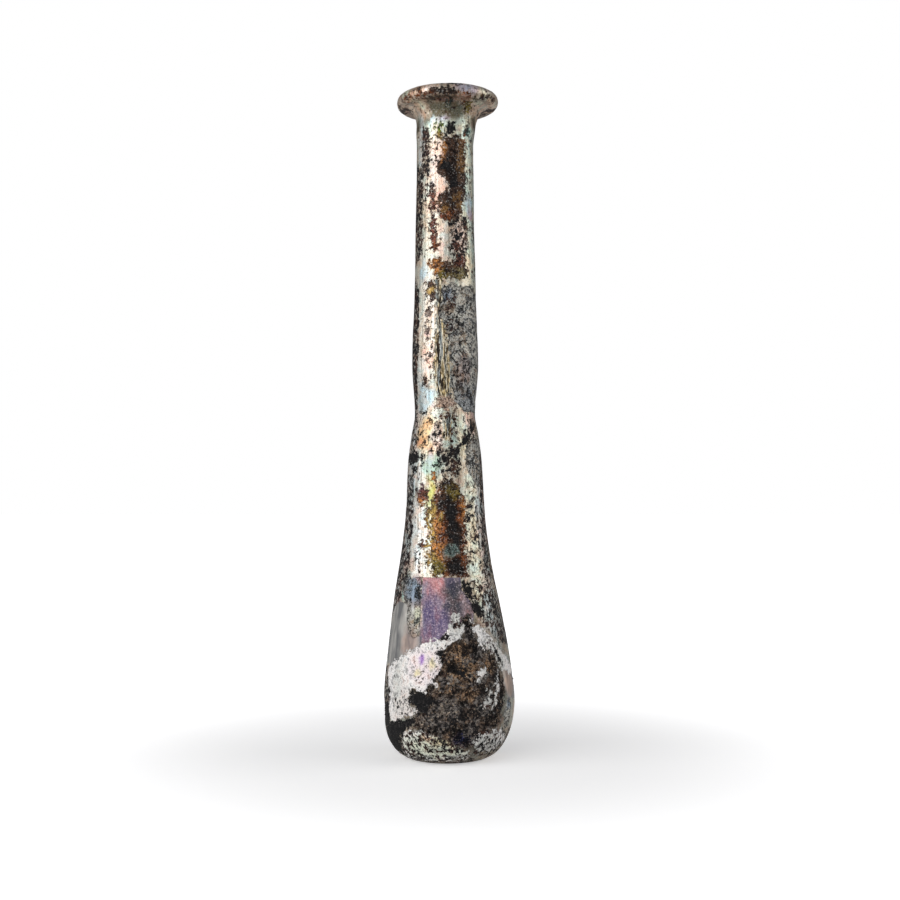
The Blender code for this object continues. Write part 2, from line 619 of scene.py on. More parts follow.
@dataclass(frozen=True)
class SoilFinish:
    """The crust of soil: black, umber and ochre grains."""

    name: str = "soil_crust"

    def coat(self, nodes: Nodes, place: Socket) -> Coat:
        """The look of the crust.

        Args:
            nodes: the tree that it is built in.
            place: where the surface is.

        Returns:
            The crust's coat, tinted by the mesh's soil_tint.
        """
        clods = nodes.grain(place, 560.0, 5.0, 0.72, 0.8)
        drift = nodes.grain(nodes.stretch(place, (1.0, 1.0, 1.0), (0.3, 0.5, 0.2)), 330.0, 4.0, 0.7, 0.6)
        grains = nodes.grain(place, 1900.0, 5.0, 0.78)
        tint = nodes.mix(nodes.step(drift, 0.50, 0.56), nodes.tint("soil_tint"), (0.26, 0.245, 0.235))
        clod = nodes.ramp(
            clods, (0.43, (0.03, 0.03, 0.04)), (0.48, (0.28, 0.27, 0.28)), (0.53, (1.0, 0.98, 0.96)),
            (0.60, (1.15, 1.05, 0.92)),
        )
        grain = nodes.ramp(
            grains, (0.40, (0.05, 0.05, 0.06)), (0.47, (0.46, 0.44, 0.43)), (0.53, (1.0, 0.98, 0.96)),
            (0.58, (1.0, 1.0, 1.0)),
        )
        colour = nodes.tinted(nodes.mix(0.95, tint, clod, "MULTIPLY"), grain)
        bright = nodes.math("MULTIPLY", nodes.step(grains, 0.57, 0.62), 0.6)
        colour = nodes.mix(bright, colour, (0.44, 0.38, 0.32))
        height = nodes.math("MULTIPLY_ADD", clods, 0.0014, nodes.math("MULTIPLY", grains, 0.0008))
        return Coat(colour, 0.85, 0.0, height)

    def build(self) -> bpy.types.Material:
        """The material of loose crumbs.

        Returns:
            The finished material.
        """
        material = bpy.data.materials.new(self.name)
        material.use_nodes = True
        nodes = Nodes(material.node_tree)
        shader = material.node_tree.nodes["Principled BSDF"]
        shader.inputs["Specular IOR Level"].default_value = 0.2
        coat = self.coat(nodes, nodes.place())
        tone = nodes.ramp(
            nodes.read("tone"), (0.0, (0.25, 0.25, 0.27)), (0.5, (0.9, 0.85, 0.8)),
            (0.85, (1.5, 1.3, 1.05)), (1.0, (2.6, 2.5, 2.3)),
        )
        nodes.put(shader.inputs["Base Color"], nodes.tinted(coat.colour, tone))
        shader.inputs["Roughness"].default_value = coat.roughness
        return material


@dataclass(frozen=True)
class WeatheredGlass:
    """The outside: every weathered layer, one over another, down to the glass."""

    name: str = "weathered_glass"
    specular: float = 0.15
    bump: float = 0.8

    def film(self, nodes: Nodes, effects: Effects, place: Socket) -> Coat:
        """The silvery ivory film, dulled by grime where it is pitted.

        Args:
            nodes: the tree that it is built in.
            effects: the shader groups.
            place: where the surface is.

        Returns:
            The coat.
        """
        lustre = nodes.use(effects.lustre, Place=place, Tint=nodes.tint("film_tint"))
        grime = nodes.grain(place, 1500.0, 6.0, 0.78, 0.3)
        level = nodes.math("MULTIPLY_ADD", nodes.read("pits"), -0.19, 0.655)
        veil = nodes.step(grime, level, nodes.math("ADD", level, 0.05))
        dulled = nodes.tinted(lustre.outputs["Color"], (0.20, 0.175, 0.16))
        colour = nodes.mix(nodes.math("MULTIPLY", veil, 0.85), lustre.outputs["Color"], dulled)
        speckle = nodes.use(effects.speckle, Place=place, Color=colour, Dark=0.7, Light=0.3)
        height = nodes.math("MULTIPLY", lustre.outputs["Lines"], 0.00004)
        return Coat(
            speckle.outputs["Color"],
            nodes.between(speckle.outputs["Grain"], 0.20, 0.46),
            nodes.between(veil, 0.58, 0.2),
            height,
        )

    def streaks(self, nodes: Nodes, place: Socket) -> Coat:
        """Lengthwise streaks in yellow, grey, teal and amber.

        Args:
            nodes: the tree that it is built in.
            place: where the surface is.

        Returns:
            The coat.
        """
        drawn = nodes.stretch(place, (1.0, 1.0, 0.04), (0.0, 0.0, 0.3))
        line = nodes.grain(drawn, 2600.0, 3.0, 0.6)
        band = nodes.grain(nodes.stretch(place, (1.0, 1.0, 0.12)), 640.0, 3.0, 0.6)
        broken = nodes.grain(nodes.stretch(place, (1.0, 1.0, 0.4)), 1900.0, 5.0, 0.75)
        hue = nodes.ramp(
            band, (0.38, (0.20, 0.24, 0.26)), (0.44, (0.58, 0.64, 0.66)), (0.49, (0.92, 0.84, 0.66)),
            (0.54, (0.74, 0.58, 0.30)), (0.58, (0.88, 0.82, 0.68)), (0.64, (0.40, 0.44, 0.44)),
        )
        dark = nodes.ramp(
            line, (0.42, (0.04, 0.03, 0.025)), (0.45, (0.30, 0.24, 0.17)), (0.48, (1.0, 1.0, 1.0)),
            (0.565, (0.80, 0.76, 0.66)), (0.61, (0.14, 0.12, 0.10)),
        )
        worn = nodes.ramp(
            broken, (0.42, (0.10, 0.09, 0.08)), (0.50, (0.80, 0.78, 0.74)), (0.56, (1.0, 1.0, 1.0))
        )
        return Coat(nodes.tinted(hue, dark, worn), 0.35, 0.35, nodes.math("MULTIPLY", line, 0.0002))

    def stain(self, nodes: Nodes, effects: Effects, place: Socket) -> Coat:
        """A stain, from gold through rust to black, tinted by the mesh's stain_tint.

        Args:
            nodes: the tree that it is built in.
            effects: the shader groups.
            place: where the surface is.

        Returns:
            The coat.
        """
        blotch = nodes.grain(place, 900.0, 5.0, 0.72, 0.4)
        fine = nodes.grain(place, 2600.0, 4.0, 0.75)
        body = nodes.ramp(
            blotch, (0.40, (0.12, 0.10, 0.10)), (0.47, (0.46, 0.42, 0.40)), (0.54, (1.0, 1.0, 1.0)),
            (0.62, (1.0, 0.88, 0.72)),
        )
        grain = nodes.ramp(
            fine, (0.40, (0.20, 0.18, 0.18)), (0.50, (0.78, 0.76, 0.74)), (0.58, (1.0, 1.0, 1.0))
        )
        colour = nodes.tinted(nodes.tint("stain_tint"), body, grain)
        speckle = nodes.use(effects.speckle, Place=place, Color=colour, Dark=0.5, Light=0.34)
        return Coat(speckle.outputs["Color"], 0.38, 0.35, nodes.math("MULTIPLY", blotch, 0.00025))

    def grey(self, nodes: Nodes, effects: Effects, place: Socket) -> Coat:
        """Grey glass that has lost its film, finely pitted and swirled, tinted by the mesh's layer_tint.

        Args:
            nodes: the tree that it is built in.
            effects: the shader groups.
            place: where the surface is.

        Returns:
            The coat.
        """
        swirl = nodes.grain(place, 240.0, 4.0, 0.6, 3.2)
        thread = nodes.math("SUBTRACT", nodes.grain(place, 300.0, 3.0, 0.55, 3.0), 0.5)
        thread = nodes.math("ABSOLUTE", thread)
        mottle = nodes.grain(place, 2300.0, 5.0, 0.8)
        mottle = nodes.math("ADD", mottle, nodes.math("MULTIPLY", nodes.math("SUBTRACT", swirl, 0.5), 0.55))
        shade = nodes.ramp(
            swirl, (0.42, (0.34, 0.35, 0.37)), (0.47, (0.70, 0.71, 0.72)), (0.51, (1.0, 0.99, 0.95)),
            (0.55, (0.62, 0.60, 0.58)), (0.60, (0.96, 0.92, 0.86)),
        )
        tone = nodes.ramp(
            mottle, (0.44, (0.04, 0.038, 0.036)), (0.49, (0.54, 0.53, 0.52)), (0.53, (1.1, 1.1, 1.08))
        )
        colour = nodes.tinted(nodes.tint("layer_tint"), shade, tone)
        bloom = nodes.grain(nodes.stretch(place, (1.0, 1.0, 1.0), (0.2, 0.1, 0.4)), 380.0, 5.0, 0.75)
        browned = nodes.tinted(colour, (0.50, 0.36, 0.26))
        colour = nodes.mix(nodes.math("MULTIPLY", nodes.step(bloom, 0.52, 0.60), 0.8), colour, browned)
        lines = nodes.math("MULTIPLY", nodes.step(thread, 0.012, 0.005), nodes.step(bloom, 0.50, 0.46))
        colour = nodes.mix(nodes.math("MULTIPLY", lines, 0.75), colour, (0.03, 0.03, 0.03))
        speckle = nodes.use(effects.speckle, Place=place, Color=colour, Dark=0.6, Light=0.35)
        height = nodes.math("MULTIPLY", mottle, 0.0002)
        return Coat(speckle.outputs["Color"], nodes.between(mottle, 0.3, 0.6), 0.15, height)

    def violet(self, nodes: Nodes, place: Socket) -> Coat:
        """A smooth layer that plays from pink through violet to slate, with a fine grain and painted glints.

        Args:
            nodes: the tree that it is built in.
            place: where the surface is.

        Returns:
            The coat.
        """
        drift = nodes.grain(nodes.stretch(place, (1.0, 1.0, 0.4)), 420.0, 4.0, 0.6, 0.5)
        spark = nodes.grain(place, 2400.0, 3.0, 0.7)
        shade = nodes.ramp(drift, (0.38, (0.62, 0.64, 0.80)), (0.5, (1, 1, 1)), (0.62, (1.3, 0.96, 0.90)))
        fine = nodes.ramp(
            spark, (0.41, (0.50, 0.50, 0.52)), (0.48, (0.88, 0.88, 0.90)), (0.58, (1.0, 1.0, 1.0))
        )
        colour = nodes.tinted(nodes.tint("layer_tint"), shade, fine)
        # painted glints: pale pink flecks laid into the colour as tiny highlights
        glint = nodes.math("MULTIPLY", nodes.step(spark, 0.56, 0.64), 0.55)
        colour = nodes.mix(glint, colour, (0.86, 0.70, 0.74))
        return Coat(colour, 0.27, 0.5, nodes.math("MULTIPLY", spark, 0.00060))

    def bare(self, nodes: Nodes, place: Socket) -> Coat:
        """Smooth grey or buff glass.

        Args:
            nodes: the tree that it is built in.
            place: where the surface is.

        Returns:
            The coat.
        """
        cloud = nodes.grain(nodes.stretch(place, (1.0, 1.0, 0.28)), 380.0, 3.0, 0.5, 0.1)
        shade = nodes.ramp(
            cloud, (0.38, (0.50, 0.51, 0.53)), (0.50, (0.92, 0.91, 0.90)), (0.62, (1.28, 1.25, 1.20))
        )
        return Coat(nodes.tinted(nodes.tint("layer_tint"), shade), 0.26, 0.1, 0.0)

    def crust(self, nodes: Nodes, effects: Effects, place: Socket) -> Coat:
        """A white crust, dull and finely pitted, tinted by the mesh's crust_tint.

        Args:
            nodes: the tree that it is built in.
            effects: the shader groups.
            place: where the surface is.

        Returns:
            The coat.
        """
        cloud = nodes.grain(place, 700.0, 5.0, 0.7, 0.4)
        shade = nodes.ramp(
            cloud, (0.39, (0.42, 0.42, 0.42)), (0.44, (0.84, 0.84, 0.85)), (0.50, (1.0, 1.0, 1.0)),
            (0.62, (1.0, 0.95, 0.93)), (0.68, (0.60, 0.48, 0.44)),
        )
        colour = nodes.tinted(nodes.tint("crust_tint"), shade)
        speckle = nodes.use(effects.speckle, Place=place, Color=colour, Dark=0.6, Light=0.4)
        lumps = nodes.math("MULTIPLY_ADD", cloud, 0.0003, 0.00008)
        return Coat(speckle.outputs["Color"], nodes.between(cloud, 0.4, 0.7), 0.1, lumps)

    def black(self, nodes: Nodes, place: Socket) -> Coat:
        """Black decayed glass, pitted and a little glossy, its palest flecks painted highlights.

        Args:
            nodes: the tree that it is built in.
            place: where the surface is.

        Returns:
            The coat.
        """
        pits = nodes.grain(place, 2400.0, 4.0, 0.75)
        # the palest stop paints small highlights as pale flecks on the black
        colour = nodes.ramp(
            pits, (0.44, (0.003, 0.003, 0.004)), (0.55, (0.012, 0.011, 0.011)),
            (0.62, (0.035, 0.032, 0.030)), (0.70, (0.20, 0.19, 0.18)),
        )
        return Coat(colour, 0.62, 0.0, nodes.math("MULTIPLY", pits, 0.0003))

    def pit(self, nodes: Nodes, place: Socket, core: Socket) -> Coat:
        """What fills a pit: black, brown or rust.

        Args:
            nodes: the tree that it is built in.
            place: where the surface is.
            core: 1 in the deepest part of a pit.

        Returns:
            The coat.
        """
        rust = nodes.grain(place, 340.0, 3.0, 0.6)
        colour = nodes.ramp(
            rust, (0.42, (0.012, 0.010, 0.011)), (0.50, (0.036, 0.022, 0.018)),
            (0.58, (0.11, 0.050, 0.030)), (0.68, (0.060, 0.040, 0.045)),
        )
        return Coat(nodes.mix(core, colour, (0.010, 0.009, 0.010)), 0.5, 0.1, -0.00006)

    def build(self, effects: Effects, soil: SoilFinish) -> bpy.types.Material:
        """The material.

        Args:
            effects: the shader groups.
            soil: the look of the crust of soil.

        Returns:
            The finished material.
        """
        material = bpy.data.materials.new(self.name)
        material.use_nodes = True
        nodes = Nodes(material.node_tree)
        shader = material.node_tree.nodes["Principled BSDF"]
        shader.inputs["Specular IOR Level"].default_value = self.specular
        place = nodes.place()

        def torn(kind: Field, scale: float, reach: float, soft: float) -> bpy.types.NodeOutputs:
            """The torn mask of a kind of patch, and its rim.

            Args:
                kind: what the patches are.
                scale: the tear's features per metre.
                reach: how far it tears, in millimetres.
                soft: how soft its edge is, in millimetres.

            Returns:
                The sockets Mask and Rim.
            """
            inside = nodes.read(kind.value)
            edge = nodes.use(effects.edge, Place=place, Field=inside, Scale=scale, Reach=reach, Soft=soft)
            return edge.outputs

        coat = self.film(nodes, effects, place)
        coat = coat.under(nodes, self.streaks(nodes, place), torn(Field.STREAKS, 900.0, 1.3, 0.10)["Mask"])
        stained = torn(Field.STAIN, 1100.0, 1.3, 0.08)["Mask"]
        coat = coat.under(nodes, self.stain(nodes, effects, place), stained)
        grey = torn(Field.GREY, 800.0, 0.8, 0.08)
        coat = coat.under(nodes, self.grey(nodes, effects, place), grey["Mask"])
        coat.colour = nodes.mix(nodes.math("MULTIPLY", grey["Rim"], 0.7), coat.colour, (0.02, 0.02, 0.02))
        violet = torn(Field.VIOLET, 700.0, 0.2, 0.05)["Mask"]
        coat = coat.under(nodes, self.violet(nodes, place), violet)
        bare = torn(Field.BARE, 700.0, 0.5, 0.15)["Mask"]
        coat = coat.under(nodes, self.bare(nodes, place), bare)
        coat = coat.under(nodes, soil.coat(nodes, place), torn(Field.SOIL, 900.0, 1.0, 0.06)["Mask"])
        crusted = torn(Field.CRUST, 900.0, 1.2, 0.06)["Mask"]
        coat = coat.under(nodes, self.crust(nodes, effects, place), crusted)
        smooth = nodes.math("MULTIPLY", nodes.math("MAXIMUM", violet, nodes.math("MULTIPLY", bare, 0.8)), 0.5)
        spots = nodes.use(
            effects.spots,
            Place=nodes.stretch(place, (1.0, 1.0, 0.8)),
            Density=nodes.math("SUBTRACT", nodes.read("pits"), smooth),
            Scale=1350.0,
        )
        coat = coat.under(nodes, self.pit(nodes, place, spots.outputs["Core"]), spots.outputs["Mask"])
        coat = coat.under(nodes, self.black(nodes, place), torn(Field.BLACK, 1000.0, 1.1, 0.06)["Mask"])
        nodes.put(shader.inputs["Base Color"], coat.colour)
        nodes.put(shader.inputs["Roughness"], coat.roughness)
        nodes.put(shader.inputs["Metallic"], coat.metallic)
        bump = nodes.make("ShaderNodeBump", {"Distance": 1.0, "Strength": self.bump, "Height": coat.height})
        nodes.put(shader.inputs["Normal"], bump.outputs[0])
        return material


class Face(Enum):
    """The side that the vessel is looked at from, as its turn in degrees from the front."""

    FRONT = 0.0
    RIGHT = 90.0
    BACK = 180.0
    LEFT = -90.0


@dataclass(frozen=True)
class Oval:
    """An oval patch of one finish.

    Attributes:
        kind: what the patch is.
        across: its middle as seen from its face, in millimetres to the right of the centre line there.
        height: its middle as seen from its face, in millimetres above the foot.
        wide: its size round the wall, in millimetres.
        tall: its size upwards, in millimetres.
        lean: how far it leans to the right of upright, in degrees.
        face: the side that it is seen from.
        strength: how dense it is, for pits.
    """

    kind: Field
    across: float
    height: float
    wide: float
    tall: float
    lean: float = 0.0
    face: Face = Face.FRONT
    strength: float = 0.0


@dataclass(frozen=True)
class Region:
    """A patch of one finish within straight edges.

    Attributes:
        kind: what the patch is.
        corners: (across, height) of each corner, measured as an oval's middle is.
        face: the side that it is seen from.
        strength: how dense it is, for pits.
    """

    kind: Field
    corners: tuple[tuple[float, float], ...]
    face: Face = Face.FRONT
    strength: float = 0.0


@dataclass(frozen=True)
class Cloud:
    """A soft cloud of colour, placed and sized as an oval is."""

    colour: Colour
    across: float
    height: float
    wide: float
    tall: float
    lean: float = 0.0
    face: Face = Face.FRONT


IVORY = (0.76, 0.71, 0.63)
PALE_PINK = (0.86, 0.68, 0.62)
ORANGE_CREAM = (0.88, 0.58, 0.34)
PALE_MINT = (0.73, 0.80, 0.73)
AQUA = (0.42, 0.66, 0.64)
SKY = (0.58, 0.72, 0.82)
SILVER = (0.80, 0.81, 0.83)
CREAM = (0.84, 0.80, 0.66)
LILAC = (0.56, 0.50, 0.60)
PEARL = (0.78, 0.73, 0.69)
# the lip's pale peach, made paler as painted light on its shaded underside
SHELL_AND_PAINTED_LIGHT = (0.98, 0.82, 0.70)
PALE_GOLD = (0.74, 0.68, 0.36)
ROSE_BROWN = (0.58, 0.44, 0.36)
OLIVE = (0.16, 0.152, 0.115)
GREEN_GOLD = (0.56, 0.56, 0.20)
BUFF = (0.66, 0.50, 0.40)
# coral, brightened as painted highlight
CORAL_AND_HIGHLIGHT = (0.84, 0.42, 0.42)
VIOLET_BLUE = (0.31, 0.24, 0.36)
MAUVE = (0.46, 0.35, 0.41)
# slate, darkened as painted shade
SLATE_AND_SHADE = (0.115, 0.11, 0.122)
DUSTY_PINK = (0.36, 0.28, 0.29)
BLUE_GREY = (0.27, 0.31, 0.38)
POOL_GREY = (0.38, 0.41, 0.44)
STEEL_BLUE = (0.30, 0.38, 0.48)
PALE_ASH = (0.72, 0.72, 0.68)
ASH = (0.58, 0.58, 0.55)
ROSE_ASH = (0.52, 0.45, 0.44)
PLAIN_GREY = (0.33, 0.325, 0.315)
PINK_BROWN = (0.43, 0.34, 0.30)
UMBER = (0.11, 0.065, 0.045)
DARK_UMBER = (0.045, 0.030, 0.024)
RUST = (0.36, 0.13, 0.05)
# orange rust, brightened as painted highlight
ORANGE_RUST_AND_HIGHLIGHT = (0.68, 0.30, 0.09)
RED_BROWN = (0.25, 0.095, 0.065)
PLUM = (0.20, 0.085, 0.12)
# gold, brightened as painted highlight
GOLD_AND_HIGHLIGHT = (0.62, 0.43, 0.13)
OLIVE_GOLD = (0.26, 0.21, 0.05)
OLIVE_BROWN = (0.25, 0.21, 0.10)
TAWNY = (0.26, 0.145, 0.055)
LEAF_GREEN = (0.24, 0.36, 0.07)
BLACK_BROWN = (0.022, 0.014, 0.012)
DARK_TEAL = (0.05, 0.11, 0.10)
TEAL_GREY = (0.22, 0.32, 0.30)
WHITE = (0.92, 0.90, 0.87)
PINK_WHITE = (0.94, 0.84, 0.84)
PURPLE = (0.46, 0.26, 0.66)
YELLOW_CREAM = (0.90, 0.80, 0.52)
GREEN_WHITE = (0.78, 0.81, 0.66)
SOIL_BROWN = (0.20, 0.155, 0.125)
SOIL_OCHRE = (0.44, 0.30, 0.19)
SOIL_GREY = (0.31, 0.29, 0.27)
SOIL_BLACK = (0.020, 0.018, 0.018)
INK_BLUE = (0.05, 0.06, 0.17)


def patches(kind: Field, face: Face, *shapes: tuple) -> list[Oval | Region]:
    """Patches of one kind on one side.

    Args:
        kind: what they are.
        face: the side that they are seen from.
        shapes: for an oval its across, height, wide, tall and perhaps lean, and for a region its corners.

    Returns:
        The patches in order.
    """
    made = []
    for shape in shapes:
        by_corners = isinstance(shape[0], tuple)
        made.append(Region(kind, shape, face) if by_corners else Oval(kind, *shape, face=face))
    return made


def pitted(face: Face, *rows: tuple[float, tuple]) -> list[Oval | Region]:
    """Pitted patches on one side.

    Args:
        face: the side that they are seen from.
        rows: for each its density, and its shape as patches() takes it.

    Returns:
        The patches in order.
    """
    shapes = patches(Field.PITS, face, *(shape for _, shape in rows))
    return [replace(patch, strength=density) for patch, (density, _) in zip(shapes, rows)]


def clouds(face: Face, *rows: tuple) -> list[Cloud]:
    """Clouds on one side, each given by its colour, across, height, wide, tall and perhaps lean."""
    return [Cloud(*row, face=face) for row in rows]


def round_the_sides(*row: object) -> list[Cloud]:
    """The same cloud on every side but the front."""
    return [Cloud(*row, face=face) for face in Face if face is not Face.FRONT]


MOUTH = [  # the lip and the underside of the flare
    *patches(
        Field.STAIN, Face.FRONT,
        (-10, 154.9, 2.6, 1.4), (-7.6, 157, 2.2, 0.8), (0.6, 153.6, 2.2, 1.6, 30),
        ((-9.6, 153.8), (-7.6, 155.6), (-4.6, 156.4), (-3.6, 157.3), (1.2, 157.2), (2.4, 156.2),
         (6.2, 155.8), (6, 155.2), (1, 155.6), (-4.4, 155.2), (-7.6, 154.2)),
        ((6.6, 155.4), (9.6, 154.4), (11, 153.6), (11.2, 154.4), (9.4, 155.2)),
        ((3.6, 154), (5.8, 154.2), (6.2, 151.6), (4.4, 151)),
    ),
    *patches(Field.BLACK, Face.FRONT, (1, 158.4, 2.4, 0.7)),
    *pitted(
        Face.FRONT,
        (0.34, (-8.8, 152.4, 4, 3)), (0.4, (9, 152.4, 4, 3)), (0.95, (8.6, 154.6, 2.4, 0.8, -20)),
        (0.62, (-3, 154.4, 9, 1)),
    ),
]

NECK = [  # the neck from the flare down to the waist
    *patches(
        Field.BLACK, Face.FRONT,
        (0.2, 139.2, 2.6, 2.2), (2, 134.8, 2.4, 2), (-5, 80.6, 2, 0.9),
        ((0.6, 149.2), (2.2, 149), (2.6, 147.4), (1, 146.4), (-0.6, 144.8), (0.2, 147)),
    ),
    *patches(
        Field.STAIN, Face.FRONT,
        (-1.4, 147, 1.6, 4.6), (-1.5, 148.3, 2.2, 1.3), (5.2, 147, 1.7, 2.6, 10),
        (4.7, 124.8, 1.5, 2.8, -10), (3.2, 119.8, 2.8, 1.9, 20), (-3.9, 104.4, 1.9, 2.7),
        (-4.3, 100.8, 1, 1.5), (-4.2, 98, 0.8, 1.1), (-4.6, 93.8, 1.6, 1), (-4.6, 88.2, 1.6, 1.8),
        ((0, 145.4), (2.5, 146), (4.9, 145.2), (5.1, 139), (5.1, 132.4), (4.2, 128.6), (3.6, 126.2),
         (1, 125.4), (-0.8, 126.6), (-1.9, 129.4), (-1.6, 131.6), (0.4, 133.2), (0.6, 135.6), (-0.4, 136.4),
         (-1.9, 137.2), (-2.2, 140.2), (-0.6, 141.6), (-0.4, 143.4)),
        ((-3.6, 134.2), (-2.6, 134.6), (-2, 130.6), (-2.6, 127.4), (-3.4, 128.4)),
        ((-3.7, 126.6), (-2.4, 127), (-1.6, 122), (-2, 118.4), (-3.2, 119.4), (-3.4, 123)),
        ((-3.8, 116.2), (-2.2, 117.6), (-0.6, 116.6), (1.4, 116), (2.6, 117.8), (4.6, 118), (5.4, 116),
         (5.4, 112.8), (3.2, 111.8), (1, 112.6), (-1.4, 111.8), (-2.6, 113.6)),
        ((-4.4, 111.2), (-3.2, 112), (-2, 111.2), (-2.2, 107.8), (-3.6, 107.2), (-4.4, 108.6)),
        ((-2.2, 83.4), (-0.4, 85.2), (1.6, 84.4), (2.4, 82.2), (0.2, 81.2), (-1.8, 81.8)),
    ),
    *patches(
        Field.STREAKS, Face.FRONT,
        ((-2.2, 112.4), (-0.4, 112.4), (-0.6, 108.4), (0.2, 103), (1.1, 96), (1.6, 90), (1.6, 84.6),
         (-1.6, 84), (-2.6, 92), (-2.2, 103)),
    ),
    *patches(
        Field.GREY, Face.FRONT,
        ((-0.6, 110.2), (1.6, 111.2), (4, 110.4), (6, 110.8), (7.6, 108), (8.2, 95), (8.2, 84), (7.4, 80.4),
         (4.6, 81.2), (2.6, 83.2), (1.5, 87), (1.6, 91.4), (1.1, 97.4), (0, 101), (-1.6, 104), (-1.2, 107)),
    ),
    *pitted(
        Face.FRONT,
        (0.46, ((-6.8, 148.6), (-5.2, 148.6), (-5.2, 137), (-6.8, 137))),
        (0.98, ((-5.6, 148.4), (-3.9, 148), (-3.5, 136), (-5.8, 135.4))),
        (0.44, ((-3.4, 146), (-1.6, 145.4), (-2.2, 136), (-2, 126), (-3.6, 126))),
        (1, ((-7.2, 140), (-5.4, 138), (-5.1, 128), (-5.6, 118), (-7.2, 114))),
        (0.66, ((-5.2, 136), (-3.8, 136), (-4.2, 126), (-5, 122))),
        (0.8, ((1, 126.2), (5.4, 127), (5.8, 117.6), (0.8, 116.6))),
        (0.48, ((5.2, 146), (6.8, 146), (6.8, 126), (5.6, 126))),
        (0.62, (2, 104, 4, 9)), (0.46, (4.6, 90.4, 5.4, 8)), (0.1, (5.4, 82.8, 4.6, 3.4)),
        (1.02, ((-8.3, 114), (-6.2, 110), (-6.2, 96), (-6.6, 80), (-8.4, 80))),
        (0.52, (-3.2, 94.4, 1.6, 16)), (0.62, (-4.6, 87.4, 2.6, 4)),
    ),
]

WAIST = [  # the waist and the upper flank
    *patches(Field.STREAKS, Face.FRONT, ((-0.4, 80.6), (1.8, 81), (2, 76.6), (0.9, 73.4), (-0.3, 75))),
    *patches(
        Field.STAIN, Face.FRONT,
        (2.7, 75.4, 0.45, 9), (1.7, 73.4, 0.4, 5), (2.2, 69.6, 0.45, 6, 6), (-0.8, 79.6, 2.4, 1),
        (6.6, 78, 2.6, 2.6), (-2.7, 65.2, 1.9, 2.2),
    ),
    *patches(
        Field.BLACK, Face.FRONT,
        (4.6, 74, 0.9, 6.4, 46), (6.4, 77, 1.6, 2.4, 20), (0, 69.8, 1, 3.4, 60), (-7.4, 67.4, 1.8, 2.2),
        (-5.6, 69.8, 0.9, 1.8),
        ((-8.6, 71.4), (-6.4, 71.6), (-6, 69.6), (-7.6, 68.4), (-8.8, 69)),
    ),
    *patches(Field.GREY, Face.FRONT, ((5, 74.4), (8.8, 75), (9.6, 66), (9.4, 62), (7.2, 64), (5, 68))),
    *pitted(
        Face.FRONT,
        (0.58, ((4, 80.4), (8.2, 80.4), (8.6, 73), (4, 73.6))),
        (0.5, ((-6.6, 79.6), (-1, 79.4), (-0.4, 71), (-5.4, 70.4))),
        (0.74, ((-3, 78.4), (-1, 78.8), (-0.4, 71), (-2, 70.4))),
        (0.9, ((-2, 72.4), (3.6, 72.4), (3.6, 66), (-0.8, 65.4))),
        (0.84, ((-9, 80), (-6.6, 80), (-6, 75), (-7.2, 71), (-9.4, 70))),
    ),
]

FLANK = [  # the flank down to the straight edge of the smooth layer
    *patches(
        Field.STAIN, Face.FRONT,
        (-4.1, 56.2, 1.5, 4.4, -8), (-4.9, 49.8, 2.6, 1.4), (-4, 46.2, 1.4, 3, 10), (-5.6, 61.4, 3, 5),
        ((-4, 51), (-3.4, 54.6), (-3.9, 57.6), (-3, 61), (-1.8, 62.4), (-1.4, 64.8), (0.6, 65.4),
         (2.4, 64.6), (3.9, 61.6), (5, 58.6), (4.8, 52), (4.8, 48), (5.6, 45.6), (5.4, 42.2), (-2.4, 42.2),
         (-4, 44.5), (-3.4, 47.4)),
    ),
    *patches(
        Field.BLACK, Face.FRONT,
        (1.6, 56.4, 1.8, 6.4, -8), (2.2, 51.4, 3.2, 1.2, 40), (2.6, 44.6, 2.4, 1.8, -20),
    ),
    *pitted(
        Face.FRONT,
        (0.92, ((-9.6, 67), (-7.4, 66), (-7.6, 56), (-8.4, 47), (-8.6, 42), (-12.6, 42))),
        (0.95, ((-12.4, 43), (-10, 43), (-10.4, 38), (-12, 35), (-14, 35))),
        (0.54, ((4.6, 65), (8, 66), (9, 42.4), (5.2, 42.4))),
        (0.84, ((8.2, 66), (10.4, 66), (14, 38), (9.4, 38))),
        (0.82, (5.8, 57.6, 1.8, 7, 16)), (0.74, (7.6, 50.4, 2.4, 6)), (0.66, (-6.6, 47, 2, 5)),
    ),
]

